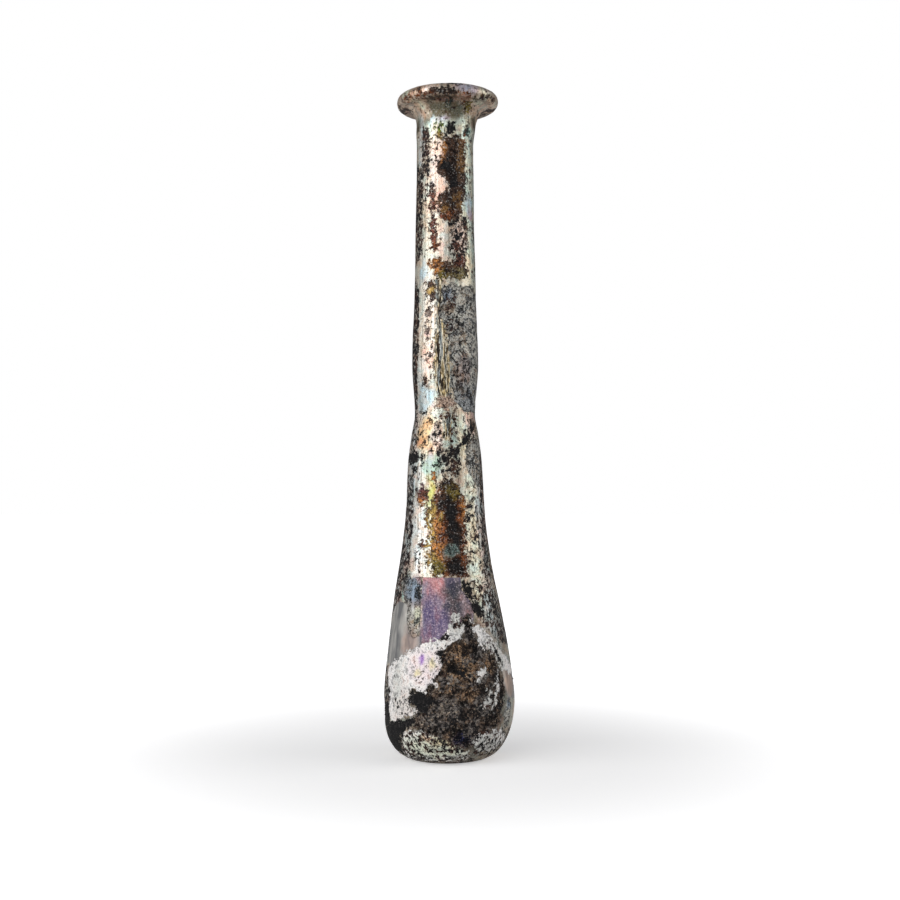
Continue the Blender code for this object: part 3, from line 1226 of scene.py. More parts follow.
BELLY = [  # the belly, from the smooth layer down to the foot
    *patches(
        Field.VIOLET, Face.FRONT,
        ((-5.4, 42.1), (3.6, 42.1), (3.8, 39.1), (5.4, 37.2), (6.6, 35.3), (6.2, 31), (2.3, 31.6),
         (0.4, 30.4), (-0.6, 28.6), (-3.3, 26.6), (-6.9, 25.2), (-6.4, 31.3), (-5.8, 38)),
    ),
    *patches(
        Field.GREY, Face.FRONT,
        (14, 10.4, 3.6, 6.8),
        ((-10.4, 42.2), (-5.5, 42.1), (-5.9, 37), (-6.3, 31), (-7.4, 27.6), (-9, 26.8), (-9.8, 31),
         (-10, 36)),
        ((10.4, 38), (11.6, 36.8), (13.6, 32.1), (14.8, 25.5), (12.6, 27.7), (11.4, 31.9)),
    ),
    *patches(
        Field.BARE, Face.FRONT,
        (-7.9, 37.6, 0.9, 8, -3),
        ((-11.4, 36.4), (-9.4, 36.2), (-9.6, 29.6), (-8.6, 28.2), (-6.6, 28), (-6.8, 24), (-13.6, 20.6),
         (-15, 24.5), (-14.2, 29.5), (-12.9, 33.6)),
        ((12.6, 21), (15.5, 22.4), (15.9, 14), (14, 13.6), (13.2, 17)),
    ),
    *patches(
        Field.CRUST, Face.FRONT,
        (9.2, 12.9, 2.8, 2.2, -40), (11.4, 15.6, 1.5, 6.4, 14), (8, 19.4, 1.8, 2.6, 30), (7.2, 18, 0.8, 1),
        (10, 15, 0.8, 1.8, -30), (-4, 16.9, 2, 0.5, 6),
        ((-14.6, 20.4), (-12, 23), (-10, 24.4), (-7.3, 25.8), (-3.5, 27.2), (-1.9, 27.8), (0.2, 29.9),
         (1.4, 33.2), (3, 33.6), (3.6, 31), (3.8, 28.4), (2, 27), (0.2, 26.4), (-1.4, 25.1), (-2, 23.7),
         (-1.8, 21.8), (-3, 18.9), (-4.6, 17.3), (-6.1, 14.8), (-8.6, 15.8), (-9.8, 13.8), (-9.2, 12),
         (-8, 11.4), (-8.3, 9.4), (-10.6, 9.2), (-12.2, 7.8), (-14, 8.2), (-14.4, 15.1)),
        ((5.5, 31.6), (7.5, 31), (9.1, 28.9), (11.5, 26.2), (13.9, 23.2), (15.4, 20.2), (14.2, 19.4),
         (12.3, 21), (11.3, 23.7), (9.4, 25.1), (7.5, 26.7), (6.4, 29.4)),
        ((-10.9, 6.2), (-6.7, 5.9), (-2.2, 3.8), (2.7, 1.7), (5.5, 0.2), (3.5, -1), (-3.8, -1), (-9.1, 0),
         (-10.9, 2.6)),
        ((6.3, 3.6), (8, 5.4), (12.8, 6.2), (13.6, 4), (10, 1), (7, 1)),
    ),
    *patches(
        Field.SOIL, Face.FRONT,
        ((3.2, 33), (5.3, 33.4), (6.6, 31), (6.3, 28.9), (7.5, 26.4), (9.7, 24.3), (11.1, 22.8), (11.8, 21),
         (12.9, 18.8), (13.1, 16), (12.7, 11), (12.4, 7.8), (10.5, 6.4), (7.5, 4.8), (6.2, 2.2), (3.6, 1.4),
         (0.5, 2.6), (-1.4, 3.8), (-5.2, 4.8), (-8.3, 6.8), (-8.2, 9.8), (-5, 11), (-4.4, 14), (-6, 14.8),
         (-4.6, 17.3), (-3, 18.9), (-1.9, 21.8), (-2.2, 23.7), (-1.4, 25.1), (0.4, 26.4), (3.2, 27),
         (4, 28.6), (3.6, 31.2)),
    ),
    *patches(
        Field.BLACK, Face.FRONT,
        (-1.8, 24, 1.8, 2.2), (3.4, 19.6, 3, 1.8, 20), (6.8, 10.4, 3.4, 1.8, -12), (1.6, 8.2, 4.6, 1.3, -8),
        (4, 24, 1.6, 1.4), (12.2, 12.4, 1.4, 4.6, 14), (5.4, 39, 2.2, 4.4, -24), (7.4, 35, 2.4, 3.4, -30),
        (11.4, 24.4, 0.8, 3.4, -28),
        ((-8.7, 15.4), (-5.7, 14.8), (-3.9, 13.2), (-4.6, 10.2), (-7.6, 9.8), (-7.8, 11.6), (-9.2, 12.4),
         (-9.6, 14.2)),
        ((-14.8, 8), (-10, 8.8), (-8.3, 9.2), (-8.2, 7.4), (-9.8, 6.4), (-11.1, 4.8), (-10.4, 0.5),
         (-13.5, 1)),
        ((-15.8, 12), (-14.6, 13.4), (-14.2, 10), (-13.8, 7.4), (-15.6, 6.4)),
    ),
    *pitted(
        Face.FRONT,
        (0.3, (-7.2, 36.4, 3, 12)), (0.92, (-12.6, 35, 2.6, 8, 8)), (0.9, (-9.8, 40.6, 1, 3.4)),
        (0.95, (2, 32, 3.4, 4)), (0.84, (-0.6, 28.2, 3, 2)),
        (0.2, ((-14.4, 20), (-7.3, 25.4), (-2.4, 24), (-3, 19), (-8, 15), (-8.6, 9), (-14, 8))),
        (0.42, (-12.8, 15, 2.6, 12)), (0.5, (-11, 11.6, 5, 6)), (0.72, (-6.6, 18.6, 0.9, 5, 12)),
        (0.84, (10, 25.8, 1.8, 4.6, -30)),
        (0.98, ((-15.9, 22), (-14.4, 21.4), (-13.8, 14), (-14.4, 10), (-15.9, 10))),
        (0.5, (9.6, 15.6, 5, 9)),
        (0.78, ((6, 42), (11.6, 42), (15.4, 26), (12, 26.7), (6.8, 33.6))),
        (0.3, (14, 10, 4, 8)),
        (0.8, ((-10.9, 6.2), (-6.7, 6.2), (-2.2, 4.2), (2.7, 2.1), (5.5, -1.5), (-9, -1.5))),
        (0.74, ((6, 6.2), (13.4, 6.4), (13, 0), (6, 0))),
    ),
]

OTHER_SIDES = [  # the sides that the front doesn't show, in keeping and a little plainer
    *patches(Field.GREY, Face.RIGHT, ((1, 110), (5, 106), (6, 90), (2, 84), (0.4, 96))),
    *patches(
        Field.STAIN, Face.RIGHT,
        (2, 155, 7, 2.4), (6, 153, 4, 3, 20), (-1, 96, 2.6, 9, 12), (7, 40, 2.4, 6, -14),
        ((1, 144), (4.6, 141), (5, 122), (2.6, 112), (0.6, 124)),
        ((0, 70), (3, 74), (6, 60), (4, 48), (1, 50)),
    ),
    *patches(Field.STREAKS, Face.RIGHT, ((0, 104), (4, 100), (5, 78), (0, 80))),
    *patches(Field.BARE, Face.RIGHT, (1, 18, 7, 6.4, 24)),
    *patches(Field.CRUST, Face.RIGHT, ((1, 44), (8, 44), (11, 30), (6, 24), (2, 33))),
    *patches(
        Field.SOIL, Face.RIGHT,
        ((-1, 17), (2, 22), (6, 18), (11, 23), (14.6, 12), (9, 3), (1, 3.4), (0, 10)),
    ),
    *patches(Field.BLACK, Face.RIGHT, (5.6, 22.6, 5, 4), (4, 28, 4, 6, 30), (5, 62, 1.4, 8, 10)),
    *patches(
        Field.STAIN, Face.BACK,
        (-3, 155, 8, 2.6), (6, 154, 5, 2), (-2, 77, 5, 3), (3.6, 104, 1.6, 12, -6),
        ((-5, 146), (0, 148), (1.6, 134), (-1, 122), (-4.6, 128)),
        ((0, 56), (6, 60), (8, 44), (3, 38), (-1, 44)),
    ),
    *patches(Field.GREY, Face.BACK, ((-2, 118), (5, 121), (6, 96), (1, 92), (-3, 104))),
    *patches(Field.STREAKS, Face.BACK, ((-6, 104), (-3, 106), (-2, 82), (-5.6, 80))),
    *patches(Field.VIOLET, Face.BACK, ((-4, 70), (-1, 73), (0, 64), (2, 60), (-2, 55), (-5, 61))),
    *patches(Field.CRUST, Face.BACK, ((-13, 34), (-6, 40), (1, 36), (4, 24), (-3, 14), (-12, 18))),
    *patches(Field.SOIL, Face.BACK, ((-2, 13), (4, 20), (9, 30), (14, 20), (14, 9), (8, 3), (-4, 3))),
    *patches(Field.BLACK, Face.BACK, (-6, 9, 9, 7, 20), (-4, 126, 1.4, 9, 6), (1, 78, 4, 1.6, 30)),
    *patches(
        Field.STAIN, Face.LEFT,
        (0, 155.2, 8, 2.4), (-7, 152.6, 4, 3), (-2, 62, 4, 12, 12),
        ((-4, 120), (0, 124), (1, 108), (0, 98), (-3.6, 104)),
    ),
    *patches(
        Field.GREY, Face.LEFT,
        ((-5, 144), (-1, 142), (-1.6, 128), (-5, 126)), ((-8, 70), (-2, 72), (-1, 56), (-6, 50)),
    ),
    *patches(Field.STREAKS, Face.LEFT, ((-4, 96), (0, 98), (0.6, 82), (-3, 79))),
    *patches(Field.BARE, Face.LEFT, ((-3, 34), (2, 30), (2.6, 20), (-4, 22))),
    *patches(Field.CRUST, Face.LEFT, ((-10, 42), (-5, 42), (-5, 30), (-6, 22), (-13, 28))),
    *patches(Field.SOIL, Face.LEFT, ((-14, 22), (-4, 19), (0, 14), (1, 8), (0, 3), (-8, 3), (-14, 9))),
    *patches(Field.BLACK, Face.LEFT, (-2, 12, 6, 7, -20), (-3, 78, 5, 2, 20)),
    *pitted(
        Face.RIGHT,
        (0.6, (1, 128, 9, 34)), (0.72, (3, 72, 9, 22, 10)), (0.78, (4, 40, 14, 28, -12)),
        (0.82, (2, 2, 26, 8)),
    ),
    *pitted(
        Face.BACK,
        (0.66, (3, 130, 7, 38)), (0.58, (-3, 92, 6, 30, 8)), (0.7, (-5, 50, 9, 34, 8)),
        (0.8, (7, 38, 9, 30, -14)), (0.84, (0, 2, 28, 8)),
    ),
    *pitted(
        Face.LEFT,
        (0.72, (-1, 132, 8, 34)), (0.64, (-3, 92, 8, 34, 6)), (0.78, (-4, 50, 12, 36)),
        (0.84, (0, 2, 26, 8)),
    ),
]

FILM_CLOUDS = [  # the film's colours where they differ from ivory
    *clouds(Face.RIGHT, (PALE_MINT, 0, 128, 14, 40)),
    *round_the_sides(ROSE_BROWN, 0, 155.6, 26, 6),
    *round_the_sides(OLIVE, 0, 149.4, 20, 3),
    *clouds(
        Face.BACK,
        (SKY, 2, 112, 6, 12), (ORANGE_CREAM, -2, 84, 7, 12), (CREAM, 2, 140, 6, 16), (AQUA, 4, 46, 7, 8),
    ),
    *clouds(Face.RIGHT, (ORANGE_CREAM, 2, 80, 5, 8), (PALE_PINK, 0, 60, 8, 20)),
    *clouds(Face.BACK, (PALE_PINK, 0, 100, 12, 40), (SILVER, 1, 60, 20, 40)),
    *clouds(Face.LEFT, (SILVER, 0, 60, 16, 90)),
    *clouds(
        Face.FRONT,
        (ROSE_BROWN, 0, 155.6, 26, 6), (OLIVE, -0.6, 151.6, 14, 5), (BUFF, -8.6, 153.6, 5, 5),
        # the two shell clouds are partly painted light, brightening the lip's underside left and right
        (SHELL_AND_PAINTED_LIGHT, -10.2, 151.4, 8, 4.6), (SHELL_AND_PAINTED_LIGHT, 10.2, 151.4, 8, 4.6), (CREAM, -10, 156, 3, 1.6),
        (PALE_PINK, -4.6, 157.2, 4.4, 2), (LILAC, 4.4, 157, 5.4, 1.8), (BUFF, 9.4, 155, 6, 6.4),
        (PALE_PINK, 9.4, 156, 4, 2), (CREAM, 8.8, 152.6, 4, 2.4), (CREAM, -6.6, 153.6, 3.4, 1.4),
        (PALE_MINT, 0, 148.2, 13, 3.4), (SKY, -2.2, 149.6, 4.2, 1.6), (LILAC, -0.4, 149.8, 3, 1.2),
        (SILVER, -5.6, 143, 2.4, 14), (PALE_MINT, 4.8, 147, 4, 5.6), (AQUA, 5.4, 146.8, 1.8, 3),
        (PALE_PINK, -1.8, 137, 4.4, 17), (PALE_MINT, 6, 138, 3, 16), (PALE_MINT, 6, 133.6, 2.4, 4),
        (SKY, 5.6, 130.2, 2.4, 3.6), (LILAC, 6, 127.4, 2.2, 2.8), (PEARL, -0.2, 120.8, 3, 10),
        (PALE_PINK, 3.6, 122, 4, 8), (CREAM, 6, 117, 2.4, 13), (SKY, -5, 113.4, 3.4, 5),
        (PEARL, -4.2, 100, 4, 24), (PALE_PINK, -4.2, 93.4, 3.4, 7), (SKY, -4.6, 83.6, 5, 7),
        (CREAM, -4.2, 76, 6, 9.6), (ORANGE_CREAM, -4.8, 76.2, 4.4, 8.6, 8), (PALE_PINK, -1.8, 75, 3, 8),
        (PALE_MINT, 1.6, 75, 4, 10), (CREAM, 4, 75, 3, 9), (PALE_PINK, 6.4, 77.4, 3, 5),
        (AQUA, -3, 68.2, 5.6, 4.6), (SILVER, -6.6, 66.4, 3, 3), (PALE_GOLD, -4.4, 55, 2.4, 16),
        (GREEN_GOLD, -3.6, 62.2, 1.8, 6.6), (SILVER, -6, 50, 5, 18), (CREAM, 6.4, 54, 4.6, 20),
        (SILVER, 8.6, 54, 3.4, 26), (PALE_MINT, 7.2, 43, 4, 7), (PALE_MINT, -8.4, 31.4, 3.6, 7),
        (AQUA, -9.8, 40, 2, 6), (STEEL_BLUE, -7.2, 38.4, 3.6, 8.4), (SILVER, 11, 34, 7, 14),
        (CREAM, 7.6, 38.6, 3, 5), (DARK_UMBER, 3, 15, 28, 34),
    ),
]

STAIN_CLOUDS = [  # the colours of the stains where they differ from dark brown
    *clouds(Face.RIGHT, (RUST, 3, 62, 3, 20), (RED_BROWN, 2, 130, 3, 20)),
    *clouds(
        Face.BACK,
        (RUST, -1, 140, 5, 12), (RED_BROWN, -3, 128, 4, 8), (GOLD_AND_HIGHLIGHT, 1, 54, 3, 8),
        (ORANGE_RUST_AND_HIGHLIGHT, 4, 50, 4, 12),
    ),
    *clouds(Face.LEFT, (RUST, -1, 110, 4, 16)),
    *clouds(
        Face.FRONT,
        (RUST, -9.6, 154.8, 4, 3), (RUST, -6, 155.4, 6, 1.6), (DARK_UMBER, -1.4, 156.8, 6, 2.2),
        (RUST, 4, 155.6, 4, 1.6), (DARK_TEAL, 0.6, 153.6, 2, 1.6), (OLIVE_GOLD, 5, 152.4, 3.4, 4),
        (LEAF_GREEN, -1.5, 148.2, 2.8, 2), (GOLD_AND_HIGHLIGHT, -1.3, 146, 2.4, 2.4), (DARK_TEAL, 5.2, 147, 2.6, 3.6),
        (ORANGE_RUST_AND_HIGHLIGHT, -0.6, 142.4, 1.6, 4.4), (RUST, 4.6, 144.4, 1.6, 2), (RED_BROWN, -1, 127.4, 2.4, 4),
        (DARK_UMBER, 2.6, 131, 5, 5), (BLACK_BROWN, 2, 137, 3.6, 6), (UMBER, 3.4, 143, 3, 5),
        (TAWNY, 4, 140.6, 2.4, 8), (TAWNY, 3.4, 130.6, 2.4, 4), (TAWNY, -0.4, 129.4, 2, 2.6),
        (RUST, 0.8, 127, 2, 2.4), (RED_BROWN, -2.8, 126, 2.6, 18), (RUST, -2.4, 119.6, 2.4, 3),
        (ORANGE_RUST_AND_HIGHLIGHT, -2.6, 115.4, 3.4, 4.4), (OLIVE_GOLD, -0.4, 113.2, 3.6, 3), (UMBER, 1.2, 115, 3, 3.4),
        (RED_BROWN, 3.8, 120.6, 4.4, 10), (OLIVE_BROWN, 3.6, 113.4, 4.6, 3.4), (GOLD_AND_HIGHLIGHT, -3.2, 109.4, 1.8, 2),
        (PINK_BROWN, -4, 101, 2.6, 14), (UMBER, -3.9, 105.2, 2.4, 1.4), (BUFF, 0, 83, 6, 5),
        (RED_BROWN, -0.8, 79.6, 3.4, 2), (UMBER, -1.8, 74.6, 3, 9), (ORANGE_RUST_AND_HIGHLIGHT, -2.7, 65, 3, 3.6),
        (DARK_TEAL, 0.4, 65.4, 4.6, 2), (RED_BROWN, -5.6, 60.6, 4.6, 4), (PLUM, -5.8, 63.4, 3.6, 2.4),
        (ORANGE_RUST_AND_HIGHLIGHT, -5.4, 59.4, 2.6, 1.8), (RUST, 0.6, 52, 12, 24), (DARK_UMBER, 0.4, 64, 4, 2),
        (OLIVE_GOLD, 1.6, 61.6, 4.6, 4), (UMBER, -0.6, 60.4, 2.4, 3.4), (OLIVE_GOLD, -3.4, 57.6, 1.8, 6),
        # the gold and orange clouds down the amber stain's left side are partly painted highlight
        (ORANGE_RUST_AND_HIGHLIGHT, -2.4, 54, 2.8, 6), (GOLD_AND_HIGHLIGHT, -3.5, 52.6, 2, 13), (ORANGE_RUST_AND_HIGHLIGHT, -1.6, 48.6, 3.2, 4.4),
        (GOLD_AND_HIGHLIGHT, -3, 46.4, 2, 3), (RUST, -0.6, 51.4, 2, 3), (GOLD_AND_HIGHLIGHT, -0.8, 56.4, 1.4, 2.4),
        (DARK_UMBER, -1.6, 59, 1.8, 2), (OLIVE_GOLD, -2, 44.6, 4, 4), (BLACK_BROWN, 1.2, 57.6, 3, 8, -6),
        (DARK_UMBER, 2.6, 53, 4, 5, -20), (ORANGE_RUST_AND_HIGHLIGHT, 4.4, 58.6, 1.6, 5), (DARK_UMBER, 2.6, 50.4, 4, 5),
        (TEAL_GREY, 1.5, 48.2, 3, 3), (RUST, 4.2, 47.4, 1.8, 4), (BLACK_BROWN, 2.4, 44.4, 5, 4.6),
    ),
]

LAYER_CLOUDS = [  # the colours of the smooth layers, of the grey glass and of the bare glass
    *clouds(Face.FRONT, (ASH, 4, 96, 12, 36)),
    *clouds(Face.BACK, (ASH, 0, 100, 20, 60)),
    *clouds(Face.RIGHT, (ASH, 0, 100, 14, 60)),
    *clouds(Face.LEFT, (ASH, -3, 100, 12, 110)),
    *clouds(
        Face.FRONT,
        (BLUE_GREY, 0.8, 108.8, 2.2, 2.6), (PALE_ASH, 5.2, 104.4, 4.4, 5), (PALE_ASH, 5.4, 97, 3, 6),
        (ROSE_ASH, 4.4, 90.6, 4.6, 7.6), (POOL_GREY, 5.4, 83.4, 7.4, 6.4), (PALE_ASH, 6.8, 69, 6, 10),
        # the coral cloud is partly painted highlight at the smooth layer's upper left, and the slate cloud
        # partly painted shade on its right
        (ASH, 11.4, 34, 8, 14), (MAUVE, -1, 36, 14, 16), (CORAL_AND_HIGHLIGHT, -4.4, 40.4, 7, 6),
        (VIOLET_BLUE, -4, 31.6, 5, 12), (VIOLET_BLUE, -1.2, 30.6, 3.6, 7), (SLATE_AND_SHADE, 2, 37, 5.4, 10),
        (STEEL_BLUE, -7.4, 39.4, 6, 5), (PALE_ASH, -7.8, 31.6, 4.4, 8), (GREEN_WHITE, -7, 33, 2.4, 4),
        (DUSTY_PINK, 5.2, 35.6, 3, 7), (PINK_BROWN, -9.2, 26.6, 5, 8), (PLAIN_GREY, -12.8, 27.6, 5.6, 16),
        (BUFF, 14.4, 17.8, 5, 8), (PALE_ASH, 13.8, 10.4, 4.4, 7.4), (STEEL_BLUE, 14.2, 12.4, 2.4, 2.6),
    ),
    *clouds(Face.BACK, (VIOLET_BLUE, 0, 62, 9, 12), (MAUVE, -3, 69, 6, 5)),
]

CRUST_CLOUDS = [  # the colours of the crust where they differ from white
    *clouds(
        Face.FRONT,
        (PINK_WHITE, -6, 21, 8, 8), (PEARL, -11, 12, 7, 8), (PURPLE, -6.4, 22.4, 1.3, 1.9),
        (YELLOW_CREAM, -3.8, 21.6, 1.8, 2.6), (YELLOW_CREAM, -7.4, 19.4, 1.4, 1.4),
        (PALE_ASH, -12.4, 17, 3.6, 10), (PALE_ASH, 2.2, 31, 4, 6), (PALE_ASH, 11.6, 23.8, 4, 8, -35),
        (GREEN_WHITE, -3, 2, 16, 6), (YELLOW_CREAM, -1.4, 3.2, 4, 2), (ORANGE_CREAM, -5, 4, 2.6, 1.4),
        (PALE_ASH, 9.6, 3, 7, 5), (PALE_ASH, 9.6, 15.6, 5, 9),
    ),
]

SOIL_CLOUDS = [  # the colours of the crust of soil where they differ from brown
    *clouds(
        Face.FRONT,
        (SOIL_OCHRE, 3, 21.6, 8, 9), (SOIL_OCHRE, 9.6, 21, 3, 4), (SOIL_OCHRE, -1, 16.4, 4, 3.4),
        (SOIL_OCHRE, 4.6, 14.6, 4, 3.6), (SOIL_GREY, -1.4, 11.6, 6, 3.4), (SOIL_GREY, -4, 8, 5, 2.6),
        (SOIL_BLACK, 5.6, 30, 4, 5), (SOIL_BLACK, 8.4, 15.6, 4, 4), (SOIL_BLACK, 10, 9.4, 5, 3),
        (SOIL_BLACK, -1, 6, 8, 1.8), (SOIL_BLACK, 0.6, 20.6, 3.6, 2.6), (SOIL_BLACK, 6.4, 24.8, 2.8, 3.2),
        (SOIL_BLACK, 2.2, 12, 3.8, 2.4), (SOIL_BLACK, 11.6, 18, 2.4, 3), (INK_BLUE, 4.2, 4, 4.8, 3.6),
    ),
    *clouds(Face.BACK, (SOIL_OCHRE, 2, 17, 14, 20)),
]


@dataclass(frozen=True)
class Weathering:
    """Where each kind of weathering lies, with the colours that lie in it.

    Attributes:
        pits_everywhere: how dense the pits are where no patch says otherwise.
        pit_swing: how much that density varies from place to place.
        hidden_pit_swing: how much more it varies on the sides that the front doesn't show.
        hidden_from: the turn at which those sides begin, in degrees.
        hidden_over: the turn over which they take over, in degrees.
        front: the front's patches. Of two that meet, the later gives the pits' density.
        other_sides: the patches of the sides that the front doesn't show.
        tints: the name of each tint that the mesh carries, its base colour and the clouds over that.
    """

    pits_everywhere: float = 0.28
    pit_swing: float = 0.12
    hidden_pit_swing: float = 0.45
    hidden_from: float = 55.0
    hidden_over: float = 30.0
    front: tuple[Oval | Region, ...] = (*MOUTH, *NECK, *WAIST, *FLANK, *BELLY)
    other_sides: tuple[Oval | Region, ...] = tuple(OTHER_SIDES)
    tints: tuple[tuple[str, Colour, list[Cloud]], ...] = (
        ("film_tint", IVORY, FILM_CLOUDS),
        ("stain_tint", UMBER, STAIN_CLOUDS),
        ("layer_tint", PLAIN_GREY, LAYER_CLOUDS),
        ("crust_tint", WHITE, CRUST_CLOUDS),
        ("soil_tint", SOIL_BROWN, SOIL_CLOUDS),
    )



@dataclass(frozen=True)
class Sight:
    """Places on the outside as an eye sees them from one side.

    A place is given in millimetres in the plane of the vessel's centre line, so one that stands nearer to the
    eye than that plane is drawn in towards the eye's own height.
    """

    section: Section
    eye_height: float = 61.0
    distance: float = 305.5
    rounds: int = 12
    lowest: float = 0.05

    def place(self, across: float, height: float, face: Face) -> tuple[float, float]:
        """Where a line of sight meets the outside.

        Args:
            across: millimetres to the right of the vessel's centre line.
            height: millimetres above the foot.
            face: the side that the eye is on.

        Returns:
            The place's turn from the front in degrees, and its height in millimetres.
        """
        turn, level = 0.0, height
        for _ in range(self.rounds):
            radius = self.section.reach(level)
            near = (self.distance - radius * math.cos(turn)) / self.distance
            turn = math.asin(max(-1.0, min(1.0, across * near / radius)))
            level = self.eye_height + (height - self.eye_height) * near
            level = max(self.lowest, level)
        return math.degrees(turn) + face.value, level


@dataclass(frozen=True)
class Wander:
    """Noise that leads points astray.

    Attributes:
        scale: its features per metre.
        octaves: how many layers it has.
        across: the shift of the noise that leads them round the wall.
        up: the shift of the noise that leads them upwards.
        reach: how far it leads them, in millimetres.
    """

    scale: float
    octaves: int
    across: float
    up: float
    reach: float


CLOUD_WANDER = Wander(420.0, 3, 14.0, 9.0, 1.1)
HIDDEN_PATCH_WANDER = Wander(190.0, 4, 17.0, 19.0, 4.0)
PIT_EDGE = 0.9  # the width over which a pitted patch fades in, in millimetres
CLOUD_EDGE = 0.45  # the same for a cloud, as a share of its smaller size
LEAST_RADIUS = 2.0  # what a smaller radius counts as where points are led round the wall, in millimetres


class Painter:
    """Works out, for each point of the wall, how far inside every patch it lies."""

    def __init__(self, sight: Sight, height: np.ndarray, turn: np.ndarray, radius: np.ndarray) -> None:
        """Keeps the points.

        Args:
            sight: what gives places on the outside.
            height: each point's height, in millimetres.
            turn: each point's turn from the front, in degrees.
            radius: each point's distance from the centre line, in millimetres.
        """
        self.sight = sight
        self.height = height
        self.turn = turn
        self.radius = radius

    def round_from(self, turn: float) -> np.ndarray:
        """How far round the wall each point is from a turn, in millimetres."""
        return np.radians((self.turn - turn + 180.0) % 360.0 - 180.0) * self.radius

    def in_oval(self, patch: Oval | Cloud) -> np.ndarray:
        """How far each point lies inside an oval.

        Args:
            patch: the oval, or a cloud of its shape.

        Returns:
            Millimetres, below 0 outside.
        """
        turn, height = self.sight.place(patch.across, patch.height, patch.face)
        across, up = self.round_from(turn), self.height - height
        lean = math.radians(patch.lean)
        along = across * math.sin(lean) + up * math.cos(lean)
        beside = across * math.cos(lean) - up * math.sin(lean)
        share = np.hypot(beside / (patch.wide / 2), along / (patch.tall / 2))
        return (1.0 - share) * min(patch.wide, patch.tall) / 2

    def in_region(self, patch: Region) -> np.ndarray:
        """How far each point lies inside a region.

        Args:
            patch: the region.

        Returns:
            Millimetres, below 0 outside.
        """
        corners = [self.sight.place(across, height, patch.face) for across, height in patch.corners]
        middle = sum(turn for turn, _ in corners) / len(corners)
        across = self.round_from(middle)
        nearest = np.full(len(across), math.inf)
        inside = np.zeros(len(across), bool)
        for (turn, low), (next_turn, high) in zip(corners, corners[1:] + corners[:1]):
            start = math.radians(turn - middle) * self.radius
            end = math.radians(next_turn - middle) * self.radius
            run, rise = end - start, high - low
            beside, above = across - start, self.height - low
            along = (beside * run + above * rise) / np.maximum(run * run + rise * rise, 1e-9)
            along = np.clip(along, 0.0, 1.0)
            nearest = np.minimum(nearest, np.hypot(beside - along * run, above - along * rise))
            if rise:
                crosses = (low > self.height) != (high > self.height)
                inside ^= crosses & (across < start + above / rise * run)
        return np.where(inside, nearest, -nearest)

    def inside(self, patch: Oval | Region | Cloud) -> np.ndarray:
        """How far each point lies inside any patch, in millimetres; below 0 it is outside."""
        return self.in_region(patch) if isinstance(patch, Region) else self.in_oval(patch)

    def wandering(self, place: np.ndarray, wander: Wander) -> "Painter":
        """The same points, led astray by noise so that patches and clouds get uneven outlines.

        Args:
            place: where the points are, in metres.
            wander: how they are led.

        Returns:
            Another painter.
        """
        across = sampled(place, wander.scale, wander.octaves, wander.across)
        up = sampled(place, wander.scale, wander.octaves, wander.up)
        turn = self.turn + np.degrees(across * wander.reach / np.maximum(self.radius, LEAST_RADIUS))
        return Painter(self.sight, self.height + up * wander.reach, turn, self.radius)

    def lay(self, kind: Field, patches: list[Oval | Region], start: np.ndarray) -> np.ndarray:
        """Adds the patches of a kind to a field.

        Args:
            kind: what the patches are.
            patches: every patch.
            start: the field so far.

        Returns:
            How far each point lies inside any patch, in millimetres, or its pits' density.
        """
        made = start.copy()
        for patch in patches:
            if patch.kind is not kind:
                continue
            if kind is Field.PITS:
                made += (patch.strength - made) * blend(self.inside(patch), PIT_EDGE)
            else:
                made = np.maximum(made, self.inside(patch))
        return made

    def tints(self, base: Colour, clouds: list[Cloud]) -> np.ndarray:
        """The colour at each point.

        Args:
            base: the colour where there is no cloud.
            clouds: the clouds over it, in order.

        Returns:
            A row for each point.
        """
        colour = np.tile(np.array(base), (len(self.height), 1))
        for cloud in clouds:
            share = blend(self.inside(cloud), CLOUD_EDGE * min(cloud.wide, cloud.tall))
            colour += (np.array(cloud.colour) - colour) * share[:, None]
        return colour


def blend(values: np.ndarray, reach: float) -> np.ndarray:
    """0 to 1 as the values pass from half of reach below 0 to half of reach above it."""
    share = np.clip(values / reach + 0.5, 0.0, 1.0)
    return share * share * (3 - 2 * share)


